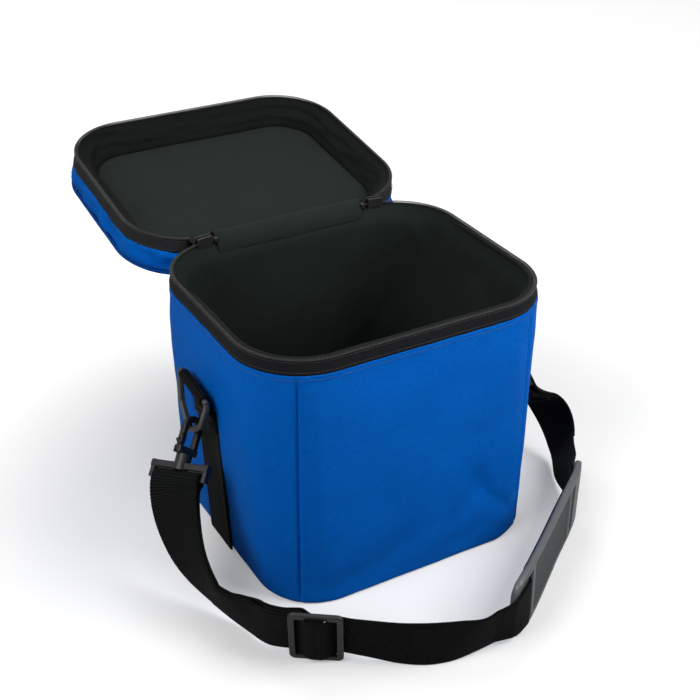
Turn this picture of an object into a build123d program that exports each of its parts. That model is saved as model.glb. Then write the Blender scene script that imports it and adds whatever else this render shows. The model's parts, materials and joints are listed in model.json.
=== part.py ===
"""Soft record carrying case with a zipped, hinged lid and a clip-on shoulder strap.

Millimetres, +Z up. The origin is the centre of the base's underside, +X runs along the
front face and +Y points to the hinge side. The lid is drawn in its closed place and then
swung open about the hinge axis.
"""
import os
from math import atan2, cos, degrees, radians, sin

from build123d import *

os.makedirs("parts", exist_ok=True)

# ---- case outline: a rounded rectangle that changes evenly from base to rim ----
BODY_HEIGHT = 180.0
BASE_HALF_WIDTH = 104.0
BASE_HALF_DEPTH = 100.5
BASE_CORNER = 43.0
RIM_HALF_WIDTH = 113.0
RIM_HALF_DEPTH = 93.0
RIM_CORNER = 50.0
RIM_SHIFT = -2.3  # the rim's centre lies this far towards the front

# ---- layers of the padded walls, from outside to inside ----
COVER = 1.2
LAYER_GAP = 0.1
FOAM = 5.0
LINING = 0.8
BASE_PANEL = 1.5
BASE_BOARD = 3.0
SEAM_GAP = 0.2

# ---- zip ----
TAPE_HEIGHT = 9.8
TAPE = 1.0
ZIP_LEAN = 2.0  # the tape's free edge leans this far inwards
COIL_HEIGHT = 1.4
COIL_DEPTH = 2.4
COIL_GAP = 1.2  # between the two coils of the shut zip
BINDING_CAP = 0.9
BINDING = 0.8
BINDING_SETBACK = 2.4  # the facing stops this far below the zip's edge, clear of the sliders
HINGE_MARGIN = 5.0  # from the hinge panel's edge to the start of the rear corner
TAPE_GAP = 1.0  # from the hinge panel's edge to the end of the zip tape
STOP_LENGTH = 2.6
STOP_WALL = 0.7
STOP_SETBACK = 0.2  # from the tape's end to the stop

# ---- lid ----
LID_OPEN = 172.0  # degrees that the lid is swung open
LID_TAPE_HEIGHT = 10.0
LID_WALL_HEIGHT = 17.0
LID_ZIP_SETBACK = 14.5  # the lid's zip edge starts this far into the corner, past the parked sliders
LID_RIM_INSET = 3.2  # lining at the rim, from the outline
LID_FLOOR_INSET = 18.0
LID_FLOOR_DEPTH = 20.3  # from the zip edge to the inside of the lid's panel
LID_FOAM_START = 4.5
PIPING_RADIUS = 1.4
PIPING_GAP = 0.1
HINGE_SETBACK = 3.0  # the fold line lies this far behind the zip edge
HINGE_FABRIC = 0.9
HINGE_FOLD_DROP = 1.0  # top of the fold below the hinge axis
HINGE_SEAM_GAP = 1.5  # from the fold's end to the lid's seam

# ---- zip sliders and pulls ----
SLIDER_LENGTH = 12.0
SLIDER_PLATE = 1.2
SLIDER_FIT = 0.3
SLIDER_FLANGE = 1.1
SLIDER_PARK = 9.0  # degrees round the rear corner
SLIDER_SKIRT = 1.6  # the outer plate reaches this much lower, to carry the pull's pin
POST_HEIGHT = 0.7
POST_WIDTH = 3.0
PULL_LENGTH = 20.0
PULL_WIDTH = 5.0
PULL = 1.2
PULL_PIN_RADIUS = 1.0
PULL_PIN_HEAD = 1.8
PULL_RIM = 1.1  # wall round the finger hole
PULL_CLEARANCE = 0.6
PIN_FIT = 0.1
HEAD_THICK = 0.6

# ---- webbing anchors and rings ----
WEB_WIDTH = 38.0
WEB = 1.8
WEB_GAP = 0.3  # between layers of webbing and what they pass
ANCHOR_WIDTH = 34.4
RING_BAR_RADIUS = 2.0
RING_SECTION = 3.6
RING_HALF_TOP = 22.7
RING_HALF_WAIST = 16.0
RING_WAIST = 22.0
RING_APEX = 36.8
RING_APEX_FILLET = 8.0
RING_CORNER_FILLET = 4.0
RING_EDGE = 0.7
RING_BAR_END = 0.4  # the round bar meets the ring's legs this far inside them
RING_STANDOFF = 9.3  # the ring's bar stands this far off the case
RING_HEIGHT = 133.6
LEFT_RING_ROLL = 6.0
LEFT_RING_SWING = 5.0
RIGHT_RING_ROLL = 0.0
RIGHT_RING_SWING = 20.5
ANCHOR_NECK_LOW = 112.0
SEWN_OVERLAP = 8.0

# ---- snap hook, along its own axis from the middle of its crossbar ----
BAR_LENGTH = 46.0
BAR_DEPTH = 5.0
BAR_THICK = 6.0
BAR_EDGE = 1.2
POST_THICK = 5.4
POST_EDGE = 1.0
POST_DROP = 12.0
SIDE_POST = 3.4
ROD_RADIUS = 1.75
ROD_DROP = 8.0
COLLAR_RADIUS = 5.5
COLLAR_TOP = 8.0
COLLAR_BOTTOM = -3.0
SHANK_RADIUS = 2.5
SHANK_FIT = 0.1
SHANK_HEAD_RADIUS = 3.6
SHANK_HEAD_LOW = -1.4
SHANK_HEAD_HIGH = 1.0
HEAD_FIT = 0.2
SWIVEL_GAP = 0.3
BLOCK_TOP = 13.0
BLOCK_THICK = 7.2
HOOK_WIDTH = 16.5
HOOK_SECTION = 4.5
HOOK_HEIGHT = 35.4
HOOK_EDGE = 0.8
BLOCK_EDGE = 1.5
NOSE_END = 20.8
GATE_SLOT = 3.2
SLOT_FLOOR = 0.15  # clearance under the gate's root
GATE_TONGUE = 2.6
GATE_PIN_RADIUS = 0.9
GATE_PIVOT_HEIGHT = 10.9
GATE_GAP = 0.3
GATE_LUG_HEIGHT = 2.0
GATE_LUG_RADIUS = 1.3
LUG_OVERHANG = 0.7
GATE_EDGE = 0.2
GATE_HEEL = 1.6  # the gate's full thickness starts this far above the block, so that it can swing
LEFT_SEAT = 26.6  # from the crossbar to the middle of the ring's bar
LEFT_CONTACT = -3.0  # place of the hook on the ring, from its apex towards the back
LEFT_AXIS = (0.56, 0.52, 0.645)
LEFT_ACROSS = (0.597, -0.756, 0.267)
RIGHT_SEAT = 27.6
RIGHT_CONTACT = -3.0
RIGHT_AXIS = (-0.37, 0.393, 0.842)
RIGHT_ACROSS = (-0.45, -0.85, 0.20)

# ---- strap: centre of the webbing and direction across its width, station by station ----
STRAP_ROUTE = [
    ((-150.5, -30.0, 66.0), (0.57, -0.70, 0.43)),
    ((-155.5, -45.0, 51.0), (0.45, -0.62, 0.64)),
    ((-155.0, -61.0, 37.0), (0.17, -0.57, 0.80)),
    ((-148.0, -77.5, 26.0), (-0.18, -0.46, 0.87)),
    ((-139.5, -94.5, 20.8), (-0.22, -0.30, 0.93)),
    ((-133.5, -109.0, 21.8), (-0.13, -0.20, 0.97)),
    ((-128.3, -122.5, 23.6), (-0.13, -0.21, 0.97)),
    ((-120.0, -132.7, 24.9), (-0.13, -0.21, 0.97)),
    ((-112.6, -137.8, 24.8), (-0.13, -0.21, 0.97)),
    ((-105.2, -142.9, 24.7), (-0.13, -0.21, 0.97)),
    ((-97.8, -148.0, 24.6), (-0.13, -0.21, 0.97)),
    ((-90.4, -153.1, 24.5), (-0.13, -0.21, 0.97)),
    ((-75.5, -162.0, 21.5), (-0.09, -0.17, 0.98)),
    ((-60.0, -172.5, 19.4), (-0.05, -0.10, 0.99)),
    ((-45.0, -181.5, 19.3), (-0.02, -0.08, 1.0)),
    ((-28.0, -187.5, 19.3), (-0.03, -0.14, 0.99)),
    ((-9.0, -191.0, 20.0), (-0.22, -0.26, 0.94)),
    ((12.0, -189.0, 23.8), (-0.26, -0.18, 0.95)),
    ((31.0, -180.0, 25.4), (-0.10, -0.04, 0.99)),
    ((56.0, -162.5, 25.4), (0.0, 0.02, 1.0)),
    ((90.0, -137.0, 25.4), (0.0, 0.0, 1.0)),
    ((116.0, -118.0, 25.4), (0.0, 0.0, 1.0)),
    ((130.0, -106.0, 25.2), (-0.08, -0.10, 0.99)),
    ((141.0, -88.0, 23.4), (0.02, -0.13, 0.99)),
    ((152.0, -66.0, 20.6), (0.18, -0.22, 0.95)),
    ((162.0, -50.5, 22.6), (0.16, -0.34, 0.93)),
    ((168.5, -37.5, 31.5), (0.10, -0.66, 0.75)),
    ((162.5, -28.0, 46.5), (0.08, -0.78, 0.62)),
]
ROD_LEAD = 10.0  # straight webbing beside each rod
LEAD_COUNT = 3
ROUTE_STEPS = 12  # fine steps between stations
BAND_STEP = 8.0  # length of one facet of the webbing
WRAP_STEPS = 6

# ---- tri-glide and shoulder pad: each sits at one of the stations above ----
GLIDE_INDEX = 9
GLIDE_LENGTH = 35.0
GLIDE_WIDTH = 49.0
GLIDE_THICK = 3.2
GLIDE_END_BAR = 4.0
GLIDE_MIDDLE_BAR = 5.0
GLIDE_SLOT = 40.6
GLIDE_CORNER = 4.0
TAIL_LENGTH = 14.0
PAD_INDEX = 17
PAD_LENGTH = 152.0
PAD_WIDTH = 50.0
PAD = 5.0
PAD_FIT = 0.5
PAD_NEAR_SLIT = 21.0
PAD_FAR_SLIT = 30.0
SLIT_LENGTH = 9.0
SLIT_WIDTH = 40.6
PAD_RECESS = 0.8
PAD_RAIL = 4.0
PAD_END_TRIM = 12.0  # the pad's rounded ends are this much narrower
PAD_CORNER_TRIM = 5.0
LOOP_TAIL = 28.0  # webbing sewn back on itself at the right hook
LOOP_LEAD = 10.0  # the sewn layers part this far before the rod
PAD_LEAD = 14.0  # the webbing starts to rise to the pad this far before it
PAD_LEAVE = 13.0
HOOK_LAYERS = 40.0  # both layers lie together this far from the left rod
HOOK_LEAD = 12.0
BACK_LAYERS = (46.0, 36.0)  # the returned layer leaves the strap's back between these, from the tri-glide

# ---- values that follow from the sizes above ----
ZIP_TOP = BODY_HEIGHT + TAPE_HEIGHT
COIL_TOP = ZIP_TOP + LAYER_GAP + COIL_HEIGHT
LID_COIL_LOW = COIL_TOP + COIL_GAP
LID_ZIP_EDGE = LID_COIL_LOW + COIL_HEIGHT + LAYER_GAP
LID_WALL_LOW = LID_ZIP_EDGE + LID_TAPE_HEIGHT
LID_PANEL_LOW = LID_WALL_LOW + LID_WALL_HEIGHT
LID_TOP = LID_PANEL_LOW + COVER
REAR_RIM = RIM_HALF_DEPTH + RIM_SHIFT
HINGE_Y = REAR_RIM - ZIP_LEAN + HINGE_SETBACK
HINGE_Z = (COIL_TOP + LID_COIL_LOW) / 2
CORNER_X = RIM_HALF_WIDTH - RIM_CORNER
HINGE_HALF_WIDTH = CORNER_X - HINGE_MARGIN
TAPE_END = HINGE_HALF_WIDTH + TAPE_GAP
LID_ZIP_START = CORNER_X + LID_ZIP_SETBACK
CORNER_Y = REAR_RIM - RIM_CORNER
FAR = 400.0


def write(shape, node):
    """Save one node as a STEP file."""
    shape.label = node
    export_step(shape, f"parts/{node}.step")


def split_by_x(shape):
    """The two solids of a shape, left one first."""
    return sorted(shape.solids(), key=lambda solid: solid.center().X)


# ---------------------------------------------------------------- case body

def share(z):
    """How far height z is on the way from base to rim, no more than 1."""
    return min(z / BODY_HEIGHT, 1.0)


def outline(z, inset=0.0):
    """Face inside the case's outline at height z, drawn in by inset."""
    t = share(z)
    half_width = BASE_HALF_WIDTH + (RIM_HALF_WIDTH - BASE_HALF_WIDTH) * t - inset
    half_depth = BASE_HALF_DEPTH + (RIM_HALF_DEPTH - BASE_HALF_DEPTH) * t - inset
    corner = BASE_CORNER + (RIM_CORNER - BASE_CORNER) * t - inset
    plane = Plane(origin=(0, RIM_SHIFT * t, z))
    return plane * RectangleRounded(2 * half_width, 2 * half_depth, corner)


def block(*levels):
    """Solid through outlines given as (height, inset) pairs."""
    return loft([outline(z, inset) for z, inset in levels], ruled=True)


def shell(levels, thick):
    """Open-ended wall of a given thickness behind the levels' outlines."""
    inner = [(z, inset + thick) for z, inset in levels]
    return block(*levels) - block(*inner)


def seam_wedge(side, gap):
    """Wedge that holds the front (side -1) or back (side 1) between its two corner seams."""
    triangles = []
    for z in (0.0, BODY_HEIGHT):
        t = share(z)
        half_width = BASE_HALF_WIDTH + (RIM_HALF_WIDTH - BASE_HALF_WIDTH) * t
        half_depth = BASE_HALF_DEPTH + (RIM_HALF_DEPTH - BASE_HALF_DEPTH) * t
        apex = RIM_SHIFT * t + side * (half_depth - half_width + gap)
        triangles.append(Plane(origin=(0, 0, z)) * make_face(Polyline(
            (0, apex), (side * FAR, apex + side * FAR), (-side * FAR, apex + side * FAR), close=True)))
    return loft(triangles, ruled=True)


def cover_panels():
    """Front, back, left and right cover panels, which meet at seams down the corners."""
    wall = shell([(BASE_PANEL, 0.0), (BODY_HEIGHT, 0.0)], COVER)
    front = wall & seam_wedge(-1, SEAM_GAP)
    back = wall & seam_wedge(1, SEAM_GAP)
    left, right = split_by_x(wall - seam_wedge(-1, 0.0) - seam_wedge(1, 0.0))
    return front, back, left, right


def base_panel():
    """Bottom cover, across the whole base."""
    return block((0.0, 0.0), (BASE_PANEL, 0.0))


def foam_top():
    """Height at which the padding and the lining end, under the binding."""
    return BODY_HEIGHT - BINDING_CAP - LAYER_GAP


def wall_foam():
    """Padding that stands inside the covers."""
    inset = COVER + LAYER_GAP
    return shell([(BASE_PANEL + LAYER_GAP, inset), (foam_top(), inset)], FOAM)


def base_board():
    """Stiff board that lies in the bottom, inside the padding."""
    inset = COVER + FOAM + 2 * LAYER_GAP
    low = BASE_PANEL + LAYER_GAP
    return block((low, inset), (low + BASE_BOARD, inset))


def body_lining():
    """Black lining bag, open at the top."""
    inset = COVER + FOAM + 2 * LAYER_GAP
    low = BASE_PANEL + BASE_BOARD + 2 * LAYER_GAP
    bag = block((low, inset), (foam_top(), inset))
    return bag - block((low + LINING, inset + LINING), (foam_top() + 1, inset + LINING))


def back_gap(half_width):
    """Box over the middle of the back, where the hinge panel takes the zip's place."""
    standing = (Align.CENTER, Align.CENTER, Align.MIN)
    return Pos(0, FAR / 2, BODY_HEIGHT) * Box(2 * half_width, FAR, FAR, align=standing)


def lean(z):
    """Inward lean of the zip edge at height z, below or above the fold."""
    if z < COIL_TOP + COIL_GAP / 2:
        return ZIP_LEAN * (z - BODY_HEIGHT) / TAPE_HEIGHT
    return ZIP_LEAN * (LID_WALL_LOW - z) / LID_TAPE_HEIGHT


def leaning(z_low, z_high, inset):
    """Two levels of the zip edge with its lean, drawn in by inset."""
    return [(z_low, inset + lean(z_low)), (z_high, inset + lean(z_high))]


def body_zip_tape():
    """Zip tape sewn round the rim, open at the hinge."""
    return shell(leaning(BODY_HEIGHT, ZIP_TOP, 0.0), TAPE) - back_gap(TAPE_END)


def coil(z_low, lean_height):
    """Zip coil as a plain band of its outer size, centred on the tape's edge."""
    inset = lean(lean_height) + (TAPE - COIL_DEPTH) / 2
    return shell([(z_low, inset), (z_low + COIL_HEIGHT, inset)], COIL_DEPTH)


def body_zip_coil():
    """The body's half of the zip, on the tape's free edge."""
    return coil(ZIP_TOP + LAYER_GAP, ZIP_TOP) - back_gap(TAPE_END)


def zip_stops():
    """Stops crimped on both ends of the body's coil."""
    z = ZIP_TOP + LAYER_GAP + COIL_HEIGHT / 2
    y = REAR_RIM - lean(ZIP_TOP) - TAPE / 2
    depth = COIL_DEPTH + 2 * LAYER_GAP
    height = COIL_HEIGHT + 2 * LAYER_GAP
    stop = Box(STOP_LENGTH, depth + 2 * STOP_WALL, height + 2 * STOP_WALL)
    stop -= Box(2 * STOP_LENGTH, depth, height)
    stop -= Pos(0, 0, -COIL_HEIGHT) * Box(2 * STOP_LENGTH, TAPE + 2 * SLIDER_FIT, COIL_HEIGHT)
    x = TAPE_END + STOP_LENGTH / 2 + STOP_SETBACK
    return [Pos(side * x, y, z) * stop for side in (-1, 1)]


def rim_binding():
    """Binding over the wall's top edge, with a facing that backs the zip tape."""
    inset = COVER + LAYER_GAP
    low = BODY_HEIGHT - BINDING_CAP
    cap = shell([(low, inset), (BODY_HEIGHT, inset)], FOAM + LAYER_GAP + LINING)
    facing = shell(leaning(BODY_HEIGHT, ZIP_TOP - BINDING_SETBACK, inset), BINDING) - back_gap(TAPE_END)
    return cap + facing


# ---------------------------------------------------------------- lid, drawn closed

def lid_zip_cut():
    """Box over the back of the lid's zip edge, between the parked sliders."""
    return Pos(0, FAR / 2, LID_COIL_LOW) * Box(2 * LID_ZIP_START, FAR, 2 * (LID_WALL_LOW - LID_COIL_LOW))


def lid_zip_coil():
    """The lid's half of the zip."""
    return coil(LID_COIL_LOW, LID_ZIP_EDGE) - lid_zip_cut()


def lid_zip_tape():
    """Zip tape sewn to the lid's wall."""
    return shell(leaning(LID_ZIP_EDGE, LID_WALL_LOW, 0.0), TAPE) - lid_zip_cut()


def lid_wall():
    """Cover of the lid's side, all the way round."""
    return shell([(LID_WALL_LOW, 0.0), (LID_PANEL_LOW, 0.0)], COVER)


def lid_top_panel():
    """Cover of the lid's flat top."""
    return block((LID_PANEL_LOW, 0.0), (LID_TOP, 0.0))


def lid_piping():
    """Piped seam round the lid's top edge."""
    z = LID_TOP - PIPING_RADIUS
    offset = PIPING_RADIUS + PIPING_GAP
    path = outline(z, -offset).wires()[0]
    start = Plane(origin=path @ 0, z_dir=path % 0)
    return sweep(start * Circle(PIPING_RADIUS), path=path)


def lining_inset(z):
    """Inset of the lining's inner face at closed height z."""
    slope = (LID_FLOOR_INSET - LID_RIM_INSET - LINING) / (LID_FLOOR_DEPTH - (LID_ZIP_EDGE - LID_COIL_LOW))
    return LID_RIM_INSET + LINING + slope * (z - LID_ZIP_EDGE)


def lid_lining():
    """Lining of the lid, a shallow tray with sloping sides."""
    floor = LID_COIL_LOW + LID_FLOOR_DEPTH
    outer_top = floor + LINING
    outer = block((LID_ZIP_EDGE, lining_inset(LID_ZIP_EDGE) - LINING),
                  (outer_top, lining_inset(outer_top) - LINING))
    tray = outer - block((LID_ZIP_EDGE, lining_inset(LID_ZIP_EDGE)), (floor, lining_inset(floor)))
    sliders = slider_levels()[1] + SLIDER_FLANGE + LAYER_GAP + SLIDER_FIT - LID_ZIP_EDGE
    return tray - Pos(0, FAR / 2, LID_ZIP_EDGE) * Box(2 * LID_ZIP_START, FAR, 2 * sliders)


def lid_foam():
    """Padding between the lid's cover and its lining."""
    low = LID_ZIP_EDGE + LID_FOAM_START
    skin = COVER + LAYER_GAP
    outer = block((low, skin + lean(low)), (LID_WALL_LOW, skin)) + block(
        (LID_WALL_LOW, skin), (LID_PANEL_LOW - LAYER_GAP, skin))
    top = LID_COIL_LOW + LID_FLOOR_DEPTH + LINING + LAYER_GAP
    clear = LINING + LAYER_GAP
    return outer - block((low, lining_inset(low) - clear), (top, lining_inset(top) - clear))


def opened(shape):
    """Swing a closed lid piece to its open place."""
    return shape.rotate(Axis((0, HINGE_Y, HINGE_Z), (1, 0, 0)), -LID_OPEN)


def hinge_panel():
    """Fabric fold that joins the back panel to the lid, as it lies with the lid open."""
    lid_seam = opened(Pos(0, REAR_RIM, LID_WALL_LOW) * Box(1, 0.01, 0.01)).center()
    front = REAR_RIM
    back = lid_seam.Y
    middle = (front + back) / 2
    top = HINGE_Z - HINGE_FOLD_DROP
    half = HINGE_FABRIC / 2
    leg_top = top - (back - front) / 2
    line = Polyline((front - half, BODY_HEIGHT + LAYER_GAP), (front - half, leg_top))
    crown = leg_top + (back - front) / 2 + half
    bend = ThreePointArc((front - half, leg_top), (middle, crown), (back + half, leg_top))
    drop = Polyline((back + half, leg_top), (back + half, lid_seam.Z + HINGE_SEAM_GAP))
    profile = trace(line + bend + drop, HINGE_FABRIC)
    return Plane.YZ.offset(-HINGE_HALF_WIDTH) * extrude(profile, 2 * HINGE_HALF_WIDTH)


# ---------------------------------------------------------------- zip sliders

def corner_sector(radius_in, radius_out, z_low, z_high, half_angle):
    """Ring sector round the right rear corner's axis, centred on the parked slider."""
    ring = Circle(radius_out) - Circle(radius_in)
    reach = 2 * radius_out
    span = radians(half_angle)
    wedge = make_face(Polyline((0, 0), (-reach * sin(span), reach * cos(span)),
                               (reach * sin(span), reach * cos(span)), close=True))
    sector = extrude(ring & wedge, z_high - z_low)
    return Pos(CORNER_X, CORNER_Y, z_low) * Rot(0, 0, -SLIDER_PARK) * sector


def coil_radii():
    """Inner and outer radius of the coil round the rear corner."""
    outer = RIM_CORNER - lean(ZIP_TOP) - (TAPE - COIL_DEPTH) / 2
    return outer - COIL_DEPTH, outer


def pin_place():
    """Middle of the slider's outer plate, where the pull's pin stands."""
    radius = coil_radii()[1] + SLIDER_FIT + SLIDER_PLATE
    angle = radians(SLIDER_PARK)
    return CORNER_X + radius * sin(angle), CORNER_Y + radius * cos(angle), ZIP_TOP - 0.8


def slider_levels():
    """Heights between which a slider's rails hold the two coils."""
    return ZIP_TOP + LAYER_GAP - SLIDER_FIT, COIL_TOP + COIL_GAP + COIL_HEIGHT + SLIDER_FIT


def zip_slider():
    """Right slider: two plates, rails round the body's coil, a post and the pull's pin."""
    inner, outer = coil_radii()
    half_angle = degrees(SLIDER_LENGTH / 2 / outer)
    low, high = slider_levels()
    plate_in = corner_sector(inner - SLIDER_FIT - SLIDER_PLATE, inner - SLIDER_FIT,
                             low - SLIDER_FLANGE, high + SLIDER_FLANGE, half_angle)
    plate_out = corner_sector(outer + SLIDER_FIT, outer + SLIDER_FIT + SLIDER_PLATE,
                              low - SLIDER_FLANGE - SLIDER_SKIRT, high + SLIDER_FLANGE, half_angle)
    tape_in = RIM_CORNER - lean(ZIP_TOP) - TAPE
    rails = corner_sector(inner - SLIDER_FIT, tape_in - SLIDER_FIT, low - SLIDER_FLANGE, low, half_angle)
    rails += corner_sector(inner - SLIDER_FIT, tape_in - SLIDER_FIT, high, high + SLIDER_FLANGE, half_angle)
    gap_low = COIL_TOP + (COIL_GAP - POST_HEIGHT) / 2
    post = corner_sector(inner - SLIDER_FIT, outer + SLIDER_FIT, gap_low, gap_low + POST_HEIGHT,
                         degrees(POST_WIDTH / 2 / outer))
    x, y, z = pin_place()
    pin_length = PULL + HEAD_THICK + 2 * PIN_FIT + PULL_CLEARANCE + SLIDER_PLATE
    face = pull_back_face()
    toward = Rot(-90, 0, 0)
    pin = Pos(x, face + PULL + PIN_FIT + HEAD_THICK - pin_length, z) * toward * Cylinder(
        PULL_PIN_RADIUS, pin_length, align=(Align.CENTER, Align.CENTER, Align.MIN))
    head = Pos(x, face + PULL + PIN_FIT, z) * toward * Cylinder(
        PULL_PIN_HEAD, HEAD_THICK, align=(Align.CENTER, Align.CENTER, Align.MIN))
    return plate_in + plate_out + rails + post + pin + head


def pull_back_face():
    """Plane in Y of the pull's face towards the case, clear of the curved slider."""
    radius = coil_radii()[1] + SLIDER_FIT + SLIDER_PLATE
    return CORNER_Y + radius + PULL_CLEARANCE


def zip_pull():
    """Right pull: a flat tab that tapers to its pin and has a finger hole."""
    x, _, z = pin_place()
    tab = SlotCenterToCenter(PULL_LENGTH - PULL_WIDTH, PULL_WIDTH, rotation=90)
    tab = Pos(0, -(PULL_LENGTH - PULL_WIDTH) / 2) * tab
    tab -= Circle(PULL_PIN_RADIUS + PIN_FIT)
    tab -= Pos(0, -(PULL_LENGTH - PULL_WIDTH)) * Circle(PULL_WIDTH / 2 - PULL_RIM)
    face = Plane(origin=(x, pull_back_face() + PULL, z), x_dir=(1, 0, 0), z_dir=(0, -1, 0))
    return extrude(face * tab, PULL)


def mirrored(shape):
    """The left-hand copy of a right-hand piece."""
    return mirror(shape, about=Plane.YZ)


# ---------------------------------------------------------------- anchors and rings

def ring_plane(side, roll, swing):
    """Plane of a ring: origin at its bar, x towards the back, y up the ring."""
    along = Vector(0, cos(radians(roll)), sin(radians(roll)))
    up = Vector(0, -sin(radians(roll)), cos(radians(roll)))
    tilt = radians(swing)
    lifted = up * cos(tilt) - Vector(side * sin(tilt), 0, 0)
    origin = Vector(side * (wall_x(RING_HEIGHT) + RING_STANDOFF), 0, RING_HEIGHT)
    return Plane(origin=origin, x_dir=along, z_dir=along.cross(lifted))


def ring_outline(moved_out):
    """Face inside the ring's centre line, moved out by a distance."""
    line = Polyline((-RING_HALF_TOP, 0), (-RING_HALF_WAIST, -RING_WAIST), (0, -RING_APEX),
                    (RING_HALF_WAIST, -RING_WAIST), (RING_HALF_TOP, 0), close=True)
    face = make_face(line)
    corners = face.vertices()
    apex = [v for v in corners if v.Y < -RING_WAIST - 1]
    others = [v for v in corners if v.Y >= -RING_WAIST - 1]
    face = fillet(apex, RING_APEX_FILLET)
    rest = [v for v in face.vertices() if any((v.center() - o.center()).length < 0.01 for o in others)]
    face = fillet(rest, RING_CORNER_FILLET)
    return offset(face, moved_out)


def ring(plane):
    """Moulded five-sided ring with a round bar for the webbing loop."""
    flat = ring_outline(RING_BAR_RADIUS) - ring_outline(-RING_BAR_RADIUS)
    body = extrude(flat, RING_SECTION / 2, both=True)
    straight = body.edges().filter_by(GeomType.LINE)
    body = chamfer([e for e in straight if abs(abs(e.center().Z) - RING_SECTION / 2) < 0.01], RING_EDGE)
    inside = RING_HALF_TOP - RING_BAR_RADIUS - RING_BAR_END
    body -= Box(2 * inside, 3 * RING_BAR_RADIUS, 2 * RING_SECTION)
    bar = Rot(0, 90, 0) * Cylinder(RING_BAR_RADIUS, 2 * inside + 2)
    return plane * (body + bar)


def wall_x(z, out=0.0):
    """Distance of the case's flat side from the middle at height z, moved out."""
    return BASE_HALF_WIDTH + (RIM_HALF_WIDTH - BASE_HALF_WIDTH) * share(z) + out


def anchor_web(side, roll):
    """Webbing sewn up the case's side, folded over the ring's bar."""
    bar_x = wall_x(RING_HEIGHT) + RING_STANDOFF
    inner = RING_BAR_RADIUS + WEB_GAP
    outer = inner + WEB
    low = BASE_PANEL + LAYER_GAP
    fold = ANCHOR_NECK_LOW - SEWN_OVERLAP
    strip = make_face(Polyline(
        (wall_x(low, LAYER_GAP), low), (wall_x(low, LAYER_GAP + WEB), low),
        (wall_x(fold, LAYER_GAP + WEB), fold), (wall_x(fold, LAYER_GAP + 2 * WEB), fold),
        (wall_x(ANCHOR_NECK_LOW, LAYER_GAP + 2 * WEB), ANCHOR_NECK_LOW),
        (wall_x(ANCHOR_NECK_LOW, LAYER_GAP), ANCHOR_NECK_LOW), close=True))
    body = extrude(Plane.XZ * strip, ANCHOR_WIDTH / 2, both=True)
    turn = Pos(bar_x, 0, RING_HEIGHT) * Rot(roll, 0, 0)
    neck_x = wall_x(ANCHOR_NECK_LOW, LAYER_GAP + WEB)
    foot = Pos(neck_x, 0, ANCHOR_NECK_LOW) * Rectangle(2 * WEB, ANCHOR_WIDTH)
    head = turn * Pos(0, 0, -(inner + WEB / 2)) * Rectangle(2 * WEB, ANCHOR_WIDTH)
    body += loft([foot, head], ruled=True)
    ring_tube = Cylinder(outer, ANCHOR_WIDTH) - Cylinder(inner, ANCHOR_WIDTH)
    body += turn * Rot(90, 0, 0) * ring_tube
    return mirrored(body) if side < 0 else body


# ---------------------------------------------------------------- snap hooks

def hook_plane(ring_frame, contact_place, axis, across, seat):
    """Plane of a swivel: origin at its crossbar, x across, z along the hook's axis."""
    up = Vector(*axis).normalized()
    over = Vector(*across)
    over = (over - up * over.dot(up)).normalized()
    contact = ring_frame.from_local_coords(Vector(contact_place, -ring_low(contact_place), 0))
    return Plane(origin=contact - up * seat, x_dir=over, z_dir=up)


def ring_low(v):
    """Depth of the rounded apex's centre line below the bar, at v along the bar."""
    slope = atan2(RING_APEX - RING_WAIST, RING_HALF_WAIST)
    centre = RING_APEX - RING_APEX_FILLET / cos(slope)
    return centre + (RING_APEX_FILLET ** 2 - v ** 2) ** 0.5


def hook_turn(swivel):
    """Plane of the hook's bow: x across its opening with the gate outwards, y along its axis."""
    up = swivel.z_dir
    side = Vector(0, 1, 0)
    normal = (side - up * side.dot(up)).normalized()
    outwards = up.cross(normal)
    if outwards.X * swivel.origin.X < 0:
        outwards = outwards * -1
    return Plane(origin=swivel.origin, x_dir=outwards, z_dir=outwards.cross(up))


def swivel_base(plane):
    """Moulded base: crossbar, end posts, webbing rod and a collar for the hook's shank."""
    bar = Box(BAR_LENGTH, BAR_THICK, BAR_DEPTH)
    body = fillet(bar.edges().filter_by(Axis.X), BAR_EDGE)
    for side in (-1, 1):
        post = Box(SIDE_POST, POST_THICK, POST_DROP)
        x = side * (BAR_LENGTH - SIDE_POST) / 2
        body += Pos(x, 0, BAR_DEPTH / 2 - POST_DROP / 2) * fillet(post.edges().filter_by(Axis.Z), POST_EDGE)
    body += Pos(0, 0, -ROD_DROP) * Rot(0, 90, 0) * Cylinder(ROD_RADIUS, BAR_LENGTH - SIDE_POST)
    body += Pos(0, 0, COLLAR_BOTTOM) * Cylinder(
        COLLAR_RADIUS, COLLAR_TOP - COLLAR_BOTTOM, align=(Align.CENTER, Align.CENTER, Align.MIN))
    body -= Cylinder(SHANK_RADIUS + SHANK_FIT, 4 * COLLAR_TOP)
    body -= Pos(0, 0, SHANK_HEAD_HIGH + HEAD_FIT) * Cylinder(
        SHANK_HEAD_RADIUS + HEAD_FIT, 2 * COLLAR_TOP, align=(Align.CENTER, Align.CENTER, Align.MAX))
    return plane * body


def bow_profile():
    """Outline of the hook in its own plane, with the gate's gap left open."""
    half = HOOK_WIDTH / 2
    centre = HOOK_HEIGHT - half
    low = COLLAR_TOP + SWIVEL_GAP
    outer = Pos(0, centre) * Circle(half) + Pos(0, (low + centre) / 2) * Rectangle(HOOK_WIDTH, centre - low)
    eye = Pos(0, centre) * Circle(half - HOOK_SECTION)
    eye += Pos(0, (BLOCK_TOP + centre) / 2) * Rectangle(HOOK_WIDTH - 2 * HOOK_SECTION, centre - BLOCK_TOP)
    gap = Pos(half - HOOK_SECTION / 2, (BLOCK_TOP + NOSE_END) / 2) * Rectangle(
        HOOK_SECTION + 1, NOSE_END - BLOCK_TOP)
    return outer - eye - gap


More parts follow.
